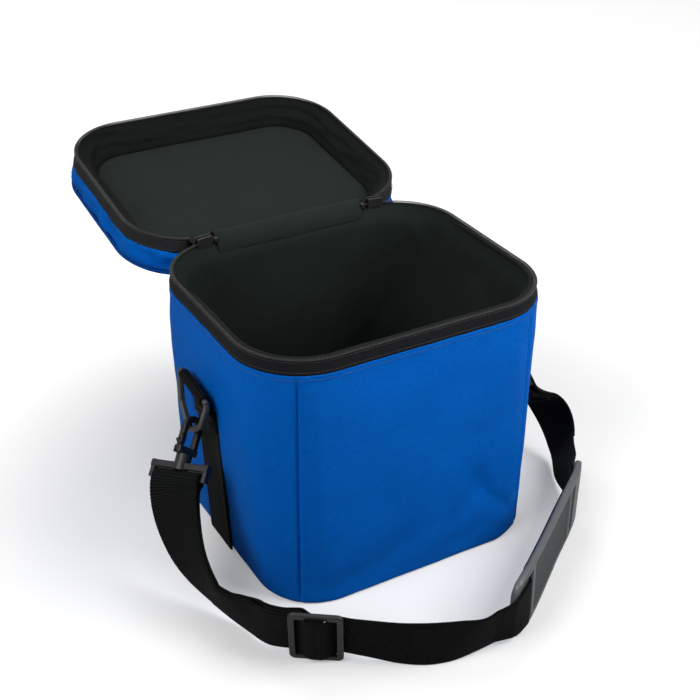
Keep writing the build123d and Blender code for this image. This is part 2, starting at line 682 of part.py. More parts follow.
def hook_core():
    """Hook in its own bow plane (x outwards, y along the axis, z across its thickness)."""
    half = HOOK_WIDTH / 2
    low = COLLAR_TOP + SWIVEL_GAP
    bow = extrude(bow_profile(), HOOK_SECTION / 2, both=True)
    rounded = [e for e in bow.edges() if e.center().Y > BLOCK_TOP + 1
               and abs(abs(e.center().Z) - HOOK_SECTION / 2) < 0.01]
    bow = chamfer(rounded, HOOK_EDGE)
    base = Pos(0, (low + BLOCK_TOP) / 2) * Box(HOOK_WIDTH, BLOCK_TOP - low, BLOCK_THICK)
    base = fillet(base.edges().filter_by(Axis.Y), BLOCK_EDGE)
    pivot_x = half - HOOK_SECTION / 2
    slot_low = GATE_PIVOT_HEIGHT - HOOK_SECTION / 2 - SLOT_FLOOR
    slot = Pos(pivot_x, slot_low) * Box(
        1.5 * HOOK_SECTION, NOSE_END - slot_low, GATE_SLOT, align=(Align.CENTER, Align.MIN, Align.CENTER))
    gate_pin = Pos(pivot_x, GATE_PIVOT_HEIGHT) * Cylinder(GATE_PIN_RADIUS, BLOCK_THICK)
    shank = Pos(0, SHANK_HEAD_LOW) * Rot(-90, 0, 0) * Cylinder(
        SHANK_RADIUS, low + 0.5 - SHANK_HEAD_LOW, align=(Align.CENTER, Align.CENTER, Align.MIN))
    head = Pos(0, SHANK_HEAD_LOW) * Rot(-90, 0, 0) * Cylinder(
        SHANK_HEAD_RADIUS, SHANK_HEAD_HIGH - SHANK_HEAD_LOW, align=(Align.CENTER, Align.CENTER, Align.MIN))
    return (bow + base - slot) + gate_pin + shank + head


def gate_core():
    """Gate in the bow plane: a root on the pin and a bar that shuts the hook's mouth."""
    half = HOOK_WIDTH / 2
    pivot_x = half - HOOK_SECTION / 2
    width = HOOK_SECTION - 2 * GATE_EDGE
    top = NOSE_END - GATE_GAP
    root = Pos(pivot_x, GATE_PIVOT_HEIGHT) * Cylinder(width / 2, GATE_TONGUE)
    root += Pos(pivot_x, (GATE_PIVOT_HEIGHT + top) / 2) * Box(width, top - GATE_PIVOT_HEIGHT, GATE_TONGUE)
    bar_low = BLOCK_TOP + GATE_HEEL
    bar = Pos(pivot_x, (bar_low + top) / 2) * Box(width, top - bar_low, HOOK_SECTION)
    bar = fillet(bar.edges().filter_by(Axis.Y), HOOK_EDGE)
    lug_place = Pos(pivot_x + width / 2, bar_low + GATE_LUG_HEIGHT)
    lug = lug_place * Cylinder(GATE_LUG_RADIUS, GATE_TONGUE + LUG_OVERHANG)
    return root + bar + lug - Pos(pivot_x, GATE_PIVOT_HEIGHT) * Cylinder(
        GATE_PIN_RADIUS + PIN_FIT, 2 * HOOK_SECTION)


# ---------------------------------------------------------------- strap

def route_stations(left, right):
    """Stations from rod to rod; beside each rod the webbing hangs straight down its hook's axis."""
    inner = [(Vector(*point), Vector(*across)) for point, across in STRAP_ROUTE]
    ends = []
    for swivel in (left, right):
        rod = swivel.origin - swivel.z_dir * ROD_DROP
        ends.append([(rod - swivel.z_dir * ROD_LEAD * k / 2, swivel.x_dir) for k in range(LEAD_COUNT)])
    return ends[0] + inner + ends[1][::-1]


def catmull_rom(values, i, t):
    """Smooth value between entries i and i + 1."""
    a = values[max(i - 1, 0)]
    b = values[i]
    c = values[i + 1]
    d = values[min(i + 2, len(values) - 1)]
    return (b * 2 + (c - a) * t + (a * 2 - b * 5 + c * 4 - d) * t ** 2
            + (b * 3 - a - c * 3 + d) * t ** 3) * 0.5


class Route:
    """The strap's centre line, with a frame at any length along it."""

    def __init__(self, stations):
        points = [point for point, _ in stations]
        across = [direction.normalized() for _, direction in stations]
        self.points = []
        self.across = []
        for i in range(len(points) - 1):
            for step in range(ROUTE_STEPS):
                self.points.append(catmull_rom(points, i, step / ROUTE_STEPS))
                self.across.append(catmull_rom(across, i, step / ROUTE_STEPS))
        self.points.append(points[-1])
        self.across.append(across[-1])
        self.lengths = [0.0]
        for a, b in zip(self.points, self.points[1:]):
            self.lengths.append(self.lengths[-1] + (b - a).length)

    def length(self):
        """Length of the centre line from rod to rod."""
        return self.lengths[-1]

    def station(self, index):
        """Length at one of the stations between the rods."""
        return self.lengths[(index + LEAD_COUNT) * ROUTE_STEPS]

    def frame(self, s):
        """Point, direction, width and outward normal at length s; straight past the ends."""
        i = 0
        while i < len(self.lengths) - 2 and self.lengths[i + 1] < s:
            i += 1
        span = self.lengths[i + 1] - self.lengths[i]
        t = (s - self.lengths[i]) / span
        point = self.points[i] + (self.points[i + 1] - self.points[i]) * t
        low = max(i - 1, 0)
        high = min(i + 2, len(self.points) - 1)
        along = (self.points[high] - self.points[low]).normalized()
        share_t = min(max(t, 0.0), 1.0)
        across = self.across[i] + (self.across[i + 1] - self.across[i]) * share_t
        across = (across - along * across.dot(along)).normalized()
        return point, along, across, along.cross(across)

    def plane(self, s, n=0.0, slope=0.0):
        """Section plane at length s, n outwards, with the band climbing by slope degrees."""
        point, along, across, outward = self.frame(s)
        heading = along * cos(radians(slope)) + outward * sin(radians(slope))
        return Plane(origin=point + outward * n, x_dir=across, z_dir=heading)


def fine(waypoints):
    """Waypoints with long stretches cut into facets."""
    result = [waypoints[0]]
    for a, b in zip(waypoints, waypoints[1:]):
        count = max(1, round(abs(b[0] - a[0]) / BAND_STEP))
        for k in range(1, count + 1):
            result.append((a[0] + (b[0] - a[0]) * k / count, a[1] + (b[1] - a[1]) * k / count))
    return result


def band(route, waypoints, width, thick):
    """Flat webbing through (length, outward) waypoints beside the route."""
    places = fine(waypoints)
    headings = [degrees(atan2(b[1] - a[1], b[0] - a[0])) for a, b in zip(places, places[1:])]
    sections = []
    for i, (s, n) in enumerate(places):
        before = headings[max(i - 1, 0)]
        after = headings[min(i, len(headings) - 1)]
        turn = (after - before + 180) % 360 - 180
        sections.append(route.plane(s, n, before + turn / 2) * Rectangle(width, thick))
    return loft(sections, ruled=True)


def wrap(s, centre, radius, first, last):
    """Waypoints round a bar at (s, centre) between two angles in degrees."""
    return [(s + radius * cos(radians(first + (last - first) * k / WRAP_STEPS)),
             centre + radius * sin(radians(first + (last - first) * k / WRAP_STEPS)))
            for k in range(WRAP_STEPS + 1)]


def layer():
    """Distance between two layers of webbing that lie on each other."""
    return WEB + WEB_GAP


def glide_centre():
    """Outward place of the tri-glide, in front of the webbing behind its end bars."""
    return GLIDE_THICK / 2 + WEB_GAP + WEB / 2


def strap_webbing(route):
    """One length of webbing: sewn loop, pad, tri-glide, left rod, and back to the tri-glide."""
    end = route.length()
    rod = ROD_RADIUS + WEB_GAP / 2 + WEB / 2
    g = route.station(GLIDE_INDEX)
    c = glide_centre()
    low = 0.0
    over = c + (c - low)
    top = over + layer()
    half_bar = GLIDE_MIDDLE_BAR / 2
    edge = GLIDE_LENGTH / 2 - GLIDE_END_BAR
    front = PAD / 2 + PAD_FIT + WEB / 2
    pad_start = route.station(PAD_INDEX)
    near = pad_start + PAD_NEAR_SLIT - SLIT_LENGTH / 2
    pad_end = pad_start + PAD_LENGTH
    sewn = [(end - LOOP_TAIL, -layer()), (end - LOOP_LEAD, -layer() - 0.4)]
    sewn += wrap(end, 0.0, rod, -90, 90)
    pad_run = [(end - LOOP_LEAD, 1.9), (end - LOOP_TAIL, 0.0), (pad_end + PAD_LEAD, 0.0),
               (pad_end + 2, -front), (near + SLIT_LENGTH - 1, -front), (near + 1, front),
               (pad_start - 1, front), (pad_start - PAD_LEAVE, 0.0)]
    glide_run = [(g + edge + 1.5, low), (g + edge - 0.7, low), (g + half_bar + 2.3, top),
                 (g - half_bar - 2.0, top), (g - edge + 0.5, low), (g - edge - 2, low)]
    hook_run = [(HOOK_LAYERS, 0.0), (HOOK_LEAD, 1.6)] + wrap(0.0, 0.0, rod, 90, 270)
    back_run = [(HOOK_LEAD, -1.8), (HOOK_LAYERS, -layer() - 0.1), (g - BACK_LAYERS[0], -layer() - 0.1),
                (g - BACK_LAYERS[1], -2 * layer()), (g - edge + 4.5, -2 * layer()), (g - half_bar, low)]
    turn = wrap(g + half_bar, c, c, -90, 90)
    tail = [(g - half_bar - 0.5, over), (g - edge + 3, -layer()),
            (g - GLIDE_LENGTH / 2 - TAIL_LENGTH, -layer())]
    return band(route, sewn + pad_run + glide_run + hook_run + back_run + turn + tail, WEB_WIDTH, WEB)


def tri_glide(route):
    """Moulded adjuster with two slots either side of its middle bar."""
    plate = RectangleRounded(GLIDE_WIDTH, GLIDE_LENGTH, GLIDE_CORNER)
    slot_length = GLIDE_LENGTH / 2 - GLIDE_END_BAR - GLIDE_MIDDLE_BAR / 2
    for side in (-1, 1):
        y = side * (GLIDE_MIDDLE_BAR + slot_length) / 2
        plate -= Pos(0, y) * RectangleRounded(GLIDE_SLOT, slot_length, 0.8)
    body = extrude(plate, GLIDE_THICK / 2, both=True)
    outer = [e for e in body.edges() if abs(abs(e.center().Z) - GLIDE_THICK / 2) < 0.01
             and (abs(e.center().X) > GLIDE_SLOT / 2 + 0.5 or abs(e.center().Y) > GLIDE_LENGTH / 2 - 1)]
    body = chamfer(outer, 0.7)
    point, along, across, outward = route.frame(route.station(GLIDE_INDEX))
    plane = Plane(origin=point + outward * glide_centre(), x_dir=across, z_dir=outward)
    return plane * body


def pad_sections(route, start, end, n, widths, thick):
    """Loft of flat sections along the route; widths lists (distance from an end, width)."""
    length = end - start
    inner = [(d, w) for d, w in widths]
    places = inner + [(length - d, w) for d, w in reversed(inner)]
    steps = round(length / BAND_STEP)
    first, last = inner[-1][0], length - inner[-1][0]
    between = [(first + (last - first) * k / steps, inner[-1][1]) for k in range(1, steps)]
    order = sorted(places + between)
    return loft([route.plane(start + d, n) * Rectangle(w, thick) for d, w in order], ruled=True)


def shoulder_pad(route):
    """Rubber pad with a recessed grip between its two slits."""
    start = route.station(PAD_INDEX)
    end = start + PAD_LENGTH
    rounding = [(0.0, PAD_WIDTH - PAD_END_TRIM), (1.5, PAD_WIDTH - PAD_CORNER_TRIM), (5.0, PAD_WIDTH)]
    pad = pad_sections(route, start, end, 0.0, rounding, PAD)
    slits = (start + PAD_NEAR_SLIT, end - PAD_FAR_SLIT)
    for s in slits:
        pad -= route.plane(s) * Box(SLIT_WIDTH, 4 * PAD, SLIT_LENGTH)
    grip_start = slits[0] + SLIT_LENGTH / 2 + PAD_RAIL
    grip_end = slits[1] - SLIT_LENGTH / 2 - PAD_RAIL
    grip_width = PAD_WIDTH - 2 * PAD_RAIL
    pad -= pad_sections(route, grip_start, grip_end, PAD / 2, [(0.0, grip_width)], 2 * PAD_RECESS)
    return pad


# ---------------------------------------------------------------- assembly

def build_body():
    """Covers, padding, lining and the body's half of the zip."""
    front, back, left, right = cover_panels()
    write(front, "front_panel")
    write(back, "back_panel")
    write(left, "left_side_panel")
    write(right, "right_side_panel")
    write(base_panel(), "base_panel")
    write(wall_foam(), "wall_foam")
    write(base_board(), "base_board")
    write(body_lining(), "body_lining")
    write(rim_binding(), "rim_binding")
    write(body_zip_tape(), "body_zip_tape")
    write(body_zip_coil(), "body_zip_coil")
    left_stop, right_stop = zip_stops()
    write(left_stop, "zip_stop_left")
    write(right_stop, "zip_stop_right")


def build_lid():
    """Lid pieces, swung open, and the hinge panel."""
    write(hinge_panel(), "hinge_panel")
    for make in (lid_zip_coil, lid_zip_tape, lid_wall, lid_top_panel, lid_piping, lid_foam, lid_lining):
        write(opened(make()), make.__name__)


def build_sliders():
    """Both zip sliders with their pulls."""
    for make in (zip_slider, zip_pull):
        write(make(), make.__name__ + "_right")
        write(mirrored(make()), make.__name__ + "_left")


def build_carrier():
    """Anchors, rings, hooks and the strap between them."""
    left_ring = ring_plane(-1, LEFT_RING_ROLL, LEFT_RING_SWING)
    right_ring = ring_plane(1, RIGHT_RING_ROLL, RIGHT_RING_SWING)
    left_hook = hook_plane(left_ring, LEFT_CONTACT, LEFT_AXIS, LEFT_ACROSS, LEFT_SEAT)
    right_hook = hook_plane(right_ring, RIGHT_CONTACT, RIGHT_AXIS, RIGHT_ACROSS, RIGHT_SEAT)
    for name, side, roll, frame, swivel in (
            ("left", -1, LEFT_RING_ROLL, left_ring, left_hook),
            ("right", 1, RIGHT_RING_ROLL, right_ring, right_hook)):
        write(anchor_web(side, roll), f"{name}_anchor_web")
        write(ring(frame), f"ring_{name}")
        write(swivel_base(swivel), f"swivel_base_{name}")
        bow = hook_turn(swivel)
        write(bow * hook_core(), f"hook_{name}")
        write(bow * gate_core(), f"gate_{name}")
    route = Route(route_stations(left_hook, right_hook))
    print("strap length from rod to rod", round(route.length(), 1))
    write(strap_webbing(route), "strap_webbing")
    write(tri_glide(route), "tri_glide")
    write(shoulder_pad(route), "shoulder_pad")


build_body()
build_lid()
build_sliders()
build_carrier()
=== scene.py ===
"""Looks of a soft record carrying case: fabric, zips, lining, webbing, fittings and stage.

Sizes in the classes are millimetres and turn into metres where a mesh is made.
"""

import json
import logging
import math
from collections.abc import Callable, Sequence
from dataclasses import dataclass
from enum import Enum

import bpy
from mathutils import Matrix, Vector, noise


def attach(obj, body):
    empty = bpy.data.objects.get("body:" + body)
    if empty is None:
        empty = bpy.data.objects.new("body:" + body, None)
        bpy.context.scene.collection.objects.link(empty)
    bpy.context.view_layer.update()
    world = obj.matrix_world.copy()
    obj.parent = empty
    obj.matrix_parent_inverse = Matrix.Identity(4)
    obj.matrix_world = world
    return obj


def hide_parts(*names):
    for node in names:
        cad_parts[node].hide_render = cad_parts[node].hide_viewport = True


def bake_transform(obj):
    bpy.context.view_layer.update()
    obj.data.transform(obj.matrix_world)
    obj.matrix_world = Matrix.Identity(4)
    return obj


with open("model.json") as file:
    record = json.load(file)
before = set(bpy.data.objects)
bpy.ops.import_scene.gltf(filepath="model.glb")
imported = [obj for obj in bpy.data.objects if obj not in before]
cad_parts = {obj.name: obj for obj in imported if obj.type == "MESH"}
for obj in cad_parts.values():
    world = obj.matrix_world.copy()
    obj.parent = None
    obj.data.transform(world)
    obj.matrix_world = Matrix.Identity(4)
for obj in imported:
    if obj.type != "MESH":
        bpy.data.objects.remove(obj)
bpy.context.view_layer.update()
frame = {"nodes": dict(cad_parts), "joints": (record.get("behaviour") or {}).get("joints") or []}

MM = 0.001
log = logging.getLogger("record_case")

Colour = tuple[float, float, float]
Point = tuple[float, float, float]

# Share of the way out at which each ring of a disc lies, and whether it has half the points
# of the one before.
DISC_RINGS = (
    (0.93, False), (0.86, False), (0.79, False), (0.72, True), (0.65, False), (0.57, False),
    (0.49, False), (0.41, True), (0.33, False), (0.25, True), (0.17, True), (0.09, False))


# ---- shader tools

class Value:
    """A shader number that adds Math nodes when it is used in an expression."""

    def __init__(self, graph: "Graph", socket: bpy.types.NodeSocket) -> None:
        """Wrap an output socket of a graph."""
        self.graph = graph
        self.socket = socket

    def math(self, operation: str, *others: "Value | float", first: float | None = None) -> "Value":
        """Add one Math node.

        Args:
            operation: Blender's name of the operation.
            others: Further inputs, in order.
            first: A number that goes before this value.

        Returns:
            The result as a new value.
        """
        inputs = [self, *others] if first is None else [first, self]
        node = self.graph.node("ShaderNodeMath", {"operation": operation}, dict(enumerate(inputs)))
        return Value(self.graph, node.outputs[0])

    def __add__(self, other: "Value | float") -> "Value":
        """Sum."""
        return self.math("ADD", other)

    def __radd__(self, other: float) -> "Value":
        """Sum with a number in front."""
        return self.math("ADD", other)

    def __sub__(self, other: "Value | float") -> "Value":
        """Difference."""
        return self.math("SUBTRACT", other)

    def __rsub__(self, other: float) -> "Value":
        """A number minus this value."""
        return self.math("SUBTRACT", first=other)

    def __mul__(self, other: "Value | float") -> "Value":
        """Product."""
        return self.math("MULTIPLY", other)

    def __rmul__(self, other: float) -> "Value":
        """Product with a number in front."""
        return self.math("MULTIPLY", other)

    def __truediv__(self, other: "Value | float") -> "Value":
        """Quotient."""
        return self.math("DIVIDE", other)

    def __rtruediv__(self, other: float) -> "Value":
        """A number divided by this value."""
        return self.math("DIVIDE", first=other)

    def __abs__(self) -> "Value":
        """Size without sign."""
        return self.math("ABSOLUTE")

    def wave(self, period: float) -> "Value":
        """Rectified sine with one bump per period, from 0 to 1."""
        return abs((self * (math.pi / period)).math("SINE"))

    def parity(self, period: float) -> "Value":
        """Number of the cell of a given length that the value lies in."""
        return (self / period).math("FLOOR")

    def step(self, low: float, high: float) -> "Value":
        """Smooth rise from 0 at low to 1 at high.

        Args:
            low: Value that gives 0.
            high: Value that gives 1.

        Returns:
            The share of the way, eased at both ends.
        """
        node = self.graph.node("ShaderNodeMapRange", {"interpolation_type": "SMOOTHSTEP"},
                               {0: self, 1: low, 2: high, 3: 0.0, 4: 1.0})
        return Value(self.graph, node.outputs[0])


class Graph:
    """Nodes of one material, or of the world."""

    def __init__(self, owner: bpy.types.Material | bpy.types.World) -> None:
        """Empty the owner's nodes.

        Args:
            owner: Material or world that the nodes belong to.
        """
        self.owner = owner
        owner.use_nodes = True
        self.tree = owner.node_tree
        self.tree.nodes.clear()

    def node(self, kind: str, settings: dict[str, object] | None = None,
             sockets: dict[int | str, object] | None = None) -> bpy.types.Node:
        """Add a node, set it, then feed its sockets.

        Args:
            kind: Blender's type of the node.
            settings: Properties of the node.
            sockets: Values, sockets or wrapped values, by the input's name or number.

        Returns:
            The new node.
        """
        made = self.tree.nodes.new(kind)
        for key, setting in (settings or {}).items():
            setattr(made, key, setting)
        for key, fed in (sockets or {}).items():
            if isinstance(fed, Value):
                fed = fed.socket
            if isinstance(fed, bpy.types.NodeSocket):
                self.tree.links.new(fed, made.inputs[key])
            else:
                made.inputs[key].default_value = fed
        return made

    def value(self, node: bpy.types.Node, output: int | str = 0) -> Value:
        """A node's output as a wrapped value."""
        return Value(self, node.outputs[output])

    def place(self) -> bpy.types.NodeSocket:
        """Position on the piece, in metres in the frame of the piece."""
        return self.node("ShaderNodeTexCoord").outputs["Object"]

    def cloth(self) -> tuple[Value, Value]:
        """Read the cloth map.

        Returns:
            Lengths across and along the cloth, in millimetres.
        """
        where = self.node("ShaderNodeUVMap", {"uv_map": "cloth"})
        split = self.node("ShaderNodeSeparateXYZ", None, {0: where.outputs[0]})
        return self.value(split, 0), self.value(split, 1)

    def stretched(self, scale: Point) -> bpy.types.NodeSocket:
        """Position on the piece, scaled along each axis."""
        node = self.node("ShaderNodeVectorMath", {"operation": "MULTIPLY"}, {0: self.place(), 1: scale})
        return node.outputs[0]

    def edges(self, radius: float, low: float, high: float) -> Value:
        """Mask of the edges that stand out.

        Args:
            radius: Radius in metres by which the edges are rounded to find them.
            low: Turn of the rounded surface at which the mask starts.
            high: Turn at which the mask is full.

        Returns:
            The mask, 0 on the faces and 1 on the edges.
        """
        soft = self.node("ShaderNodeBevel", {"samples": 6}, {"Radius": radius})
        face = self.node("ShaderNodeNewGeometry")
        facing = self.node("ShaderNodeVectorMath", {"operation": "DOT_PRODUCT"},
                           {0: soft.outputs[0], 1: face.outputs["Normal"]})
        return (1.0 - self.value(facing, "Value")).step(low, high)

    def noise(self, scale: float, detail: float = 2.0,
              where: bpy.types.NodeSocket | None = None) -> Value:
        """Even noise about 0.5.

        Args:
            scale: Cells per metre.
            detail: Number of finer layers.
            where: Place to sample, or the position on the piece.

        Returns:
            The noise value.
        """
        node = self.node("ShaderNodeTexNoise", None, {
            "Vector": where or self.place(), "Scale": scale, "Detail": detail, "Roughness": 0.6})
        return self.value(node, "Fac")

    def blend(self, share: Value | float, low: object, high: object) -> bpy.types.NodeSocket:
        """Mix of two colours.

        Args:
            share: Share of the second colour.
            low: Colour at 0, as a triple or a socket.
            high: Colour at 1, as a triple or a socket.

        Returns:
            Socket with the mixed colour.
        """
        pair = {key: (*colour, 1.0) if isinstance(colour, tuple) else colour
                for key, colour in ((6, low), (7, high))}
        node = self.node("ShaderNodeMix", {"data_type": "RGBA", "clamp_factor": True},
                         {0: share, **pair})
        return node.outputs[2]

    def finish(self, colour: bpy.types.NodeSocket, roughness: Value | float, relief: Value,
               depth: float, edge: float = 0.0,
               constants: dict[str, object] | None = None) -> bpy.types.Material:
        """Close the material with a Principled shader.

        Args:
            colour: Base colour.
            roughness: Roughness, as a number or a value.
            relief: Height of the surface pattern, from 0 to 1.
            depth: Real height of that pattern in metres.
            edge: Radius in metres by which hard edges look rounded.
            constants: Plain values for other sockets of the shader.

        Returns:
            The finished material.
        """
        bump: dict[int | str, object] = {"Height": relief, "Distance": depth, "Strength": 1.0}
        if edge:
            bump["Normal"] = self.node("ShaderNodeBevel", {"samples": 4}, {"Radius": edge}).outputs[0]
        normal = self.node("ShaderNodeBump", None, bump)
        shader = self.node("ShaderNodeBsdfPrincipled", None, {
            "Base Color": colour, "Roughness": roughness, "Normal": normal.outputs[0],
            **(constants or {})})
        self.node("ShaderNodeOutputMaterial", None, {"Surface": shader.outputs[0]})
        return self.owner


# ---- finishes

def dimmed(colour: Colour, share: float) -> Colour:
    """Darker tone of a colour."""
    return tuple(c * share for c in colour)


@dataclass(frozen=True)
class WovenCover:
    """Shiny plain-woven polyester of the covers."""

    name: str = "woven_cover"
    thread: float = 0.62
    colour: Colour = (0.0010, 0.190, 0.84)
    shade: Colour = (0.0004, 0.080, 0.39)
    valley: float = 0.35
    depth: float = 0.0002
    sheen: Colour = (0.1, 0.45, 1.0)

    def cloth(self, g: Graph) -> Value:
        """Height of the plain weave, whose threads go over and under each other.

        Args:
            g: Graph of the material.

        Returns:
            The height, from 0 to 1.
        """
        across, along = g.cloth()
        over = (across.parity(self.thread) + along.parity(self.thread)).math("PINGPONG", 1.0)
        warp = across.wave(self.thread)
        weft = along.wave(self.thread)
        crest = 1.0 - self.valley
        return (over * (self.valley + crest * weft) * warp
                + (1.0 - over) * (self.valley + crest * warp) * weft)

    def make(self) -> bpy.types.Material:
        """Build the material.

        Returns:
            The material.
        """
        g = Graph(bpy.data.materials.new(self.name))
        height = self.cloth(g)
        slubs = g.noise(1000.0, 2.0, g.stretched((0.3, 0.3, 1.0)))
        speck = g.noise(700.0, 2.0)
        cloud = g.noise(14.0, 3.0)
        tone = height * 0.4 + slubs * 0.65 + speck * 0.3 + cloud * 0.3 - 0.3
        relief = height + slubs * 0.8 + speck * 0.3
        return g.finish(g.blend(tone, self.shade, self.colour), 0.62 - 0.14 * height, relief, self.depth,
                        constants={
            "Sheen Weight": 0.02, "Sheen Roughness": 0.4, "Sheen Tint": (*self.sheen, 1.0),
            "Specular IOR Level": 0.03})


@dataclass(frozen=True)
class Lining:
    """Thin black nylon lining with a fine weave."""

    name: str = "lining"
    thread: float = 0.5
    colour: Colour = (0.019, 0.027, 0.023)
    shade: Colour = (0.005, 0.008, 0.0065)
    depth: float = 0.00012

    def make(self) -> bpy.types.Material:
        """Build the material.

        Returns:
            The material.
        """
        g = Graph(bpy.data.materials.new(self.name))
        across, along = g.cloth()
        height = across.wave(self.thread) * 0.5 + along.wave(self.thread) * 0.5
        fibre = g.noise(600.0, 3.0)
        tone = height * 0.5 + fibre * 0.5 + g.noise(20.0, 2.0) * 0.3 - 0.1
        return g.finish(g.blend(tone, self.shade, self.colour), 0.68 - 0.12 * height,
                        height + fibre * 0.6, self.depth, constants={
                            "Sheen Weight": 0.02, "Sheen Roughness": 0.5, "Specular IOR Level": 0.06})


@dataclass(frozen=True)
class ZipTape:
    """Ribbed black tape that carries the zip."""

    name: str = "zip_tape"
    rib: float = 0.9
    colour: Colour = (0.016, 0.017, 0.019)
    shade: Colour = (0.004, 0.004, 0.005)
    depth: float = 0.00022

    def make(self) -> bpy.types.Material:
        """Build the material.

        Returns:
            The material.
        """
        g = Graph(bpy.data.materials.new(self.name))
        across, along = g.cloth()
        twill = (along + across * 0.6).wave(self.rib)
        ribs = across.wave(self.rib * 0.7)
        height = twill * 0.6 + ribs * 0.4
        tone = height * 0.7 + g.noise(500.0, 2.0) * 0.4 - 0.1
        return g.finish(g.blend(tone, self.shade, self.colour), 0.6, height, self.depth,
                        constants={"Sheen Weight": 0.01, "Specular IOR Level": 0.05})


@dataclass(frozen=True)
class StrapWeave:
    """Heavy webbing with ribs across its width."""

    name: str = "strap_weave"
    rib: float = 1.6
    cord: float = 1.1
    width: float = 38.0
    selvedge: tuple[float, float] = (2.4, 1.2)
    colour: Colour = (0.0100, 0.0110, 0.0105)
    shade: Colour = (0.0008, 0.0010, 0.0010)
    depth: float = 0.00045

    def make(self) -> bpy.types.Material:
        """Build the material.

        Returns:
            The material.
        """
        g = Graph(bpy.data.materials.new(self.name))
        across, along = g.cloth()
        waver = g.noise(160.0, 2.0)
        ribs = (along + waver * 0.5).wave(self.rib)
        cords = across.wave(self.cord)
        fibre = g.noise(1300.0, 2.0)
        edge = abs(across).step(self.width / 2 - self.selvedge[0], self.width / 2 - self.selvedge[1])
        height = ribs * (0.75 + 0.25 * cords) * (1.0 - 0.35 * edge) + fibre * 0.3
        tone = height * 0.8 + g.noise(60.0, 3.0) * 0.4 - 0.2
        return g.finish(g.blend(tone, self.shade, self.colour), 0.70 - 0.1 * height, height,
                        self.depth, constants={
                            "Sheen Weight": 0.01, "Sheen Roughness": 0.4, "Specular IOR Level": 0.04})


@dataclass(frozen=True)
class Thread:
    """Sewing thread."""

    name: str
    colour: Colour

    def make(self) -> bpy.types.Material:
        """Build the material.

        Returns:
            The material.
        """
        g = Graph(bpy.data.materials.new(self.name))
        twist = g.noise(2500.0, 1.0)
        tone = g.blend(twist * 1.6 - 0.3, dimmed(self.colour, 0.45), self.colour)
        return g.finish(tone, 0.5, twist, 0.0001, constants={"Specular IOR Level": 0.5})


@dataclass(frozen=True)
class MouldedPlastic:
    """Hard moulded plastic with a fine spark-eroded grain and rubbed edges."""

    name: str
    colour: Colour
    worn: Colour
    roughness: float = 0.42
    grain: float = 2600.0
    edge: float = 0.00045

    def make(self) -> bpy.types.Material:
        """Build the material.

        Returns:
            The material.
        """
        g = Graph(bpy.data.materials.new(self.name))
        grain = g.noise(self.grain, 2.0)
        cloud = g.noise(90.0, 3.0)
        rubbed = g.edges(self.edge * 1.6, 0.03, 0.30) * cloud.step(0.35, 0.62)
        tone = g.blend(cloud * 0.7 + grain * 0.3, dimmed(self.colour, 0.72), self.colour)
        return g.finish(g.blend(rubbed * 0.7, tone, self.worn), self.roughness + 0.16 * (cloud - 0.5),
                        grain, 0.00003, self.edge, {"Specular IOR Level": 0.5})


@dataclass(frozen=True)
class PaintedZinc:
    """Black painted die-cast metal of sliders, pulls and stops."""

    name: str = "painted_zinc"
    colour: Colour = (0.012, 0.012, 0.013)
    bare: Colour = (0.12, 0.117, 0.113)
    edge: float = 0.00025

    def make(self) -> bpy.types.Material:
        """Build the material.

        Returns:
            The material.
        """
        g = Graph(bpy.data.materials.new(self.name))
        cloud = g.noise(500.0, 4.0)
        chipped = g.edges(self.edge * 1.6, 0.12, 0.35) * cloud.step(0.52, 0.66)
        return g.finish(g.blend(chipped, self.colour, self.bare), 0.46 - 0.08 * chipped, cloud,
                        0.00002, self.edge, {"Specular IOR Level": 0.4, "Coat Weight": 0.04})


@dataclass(frozen=True)
class PadRubber:
    """Textured rubber of the shoulder pad: small pyramids inside, smooth rails round them."""

    name: str = "pad_rubber"
    colour: Colour = (0.070, 0.070, 0.073)
    shade: Colour = (0.018, 0.018, 0.019)
    knob: float = 2.6
    smooth: bool = False

    def make(self) -> bpy.types.Material:
        """Build the material.

        Returns:
            The material.
        """
        g = Graph(bpy.data.materials.new(self.name))
        grain = g.noise(1800.0, 2.0)
        if self.smooth:
            tone = grain * 0.6 + g.noise(50.0, 2.0) * 0.6
            return g.finish(g.blend(tone, self.shade, self.colour), 0.34, grain, 0.00004,
                            constants={"Specular IOR Level": 0.5})
        across, along = g.cloth()
        knobs = (across + along).wave(self.knob) * (across - along).wave(self.knob)
        tone = knobs * 0.8 + grain * 0.3
        return g.finish(g.blend(tone, self.shade, self.colour), 0.62, knobs + grain * 0.3, 0.00025,
                        constants={"Specular IOR Level": 0.4})


@dataclass(frozen=True)
class CoilNylon:
    """Smooth black nylon of the zip coils."""

    name: str = "coil_nylon"
    colour: Colour = (0.021, 0.021, 0.022)

    def make(self) -> bpy.types.Material:
        """Build the material.

        Returns:
            The material.
        """
        g = Graph(bpy.data.materials.new(self.name))
        cloud = g.noise(300.0, 2.0)
        tone = g.blend(cloud, dimmed(self.colour, 0.5), self.colour)
        return g.finish(tone, 0.26 + 0.1 * cloud, cloud, 0.00001, constants={"Specular IOR Level": 0.5})


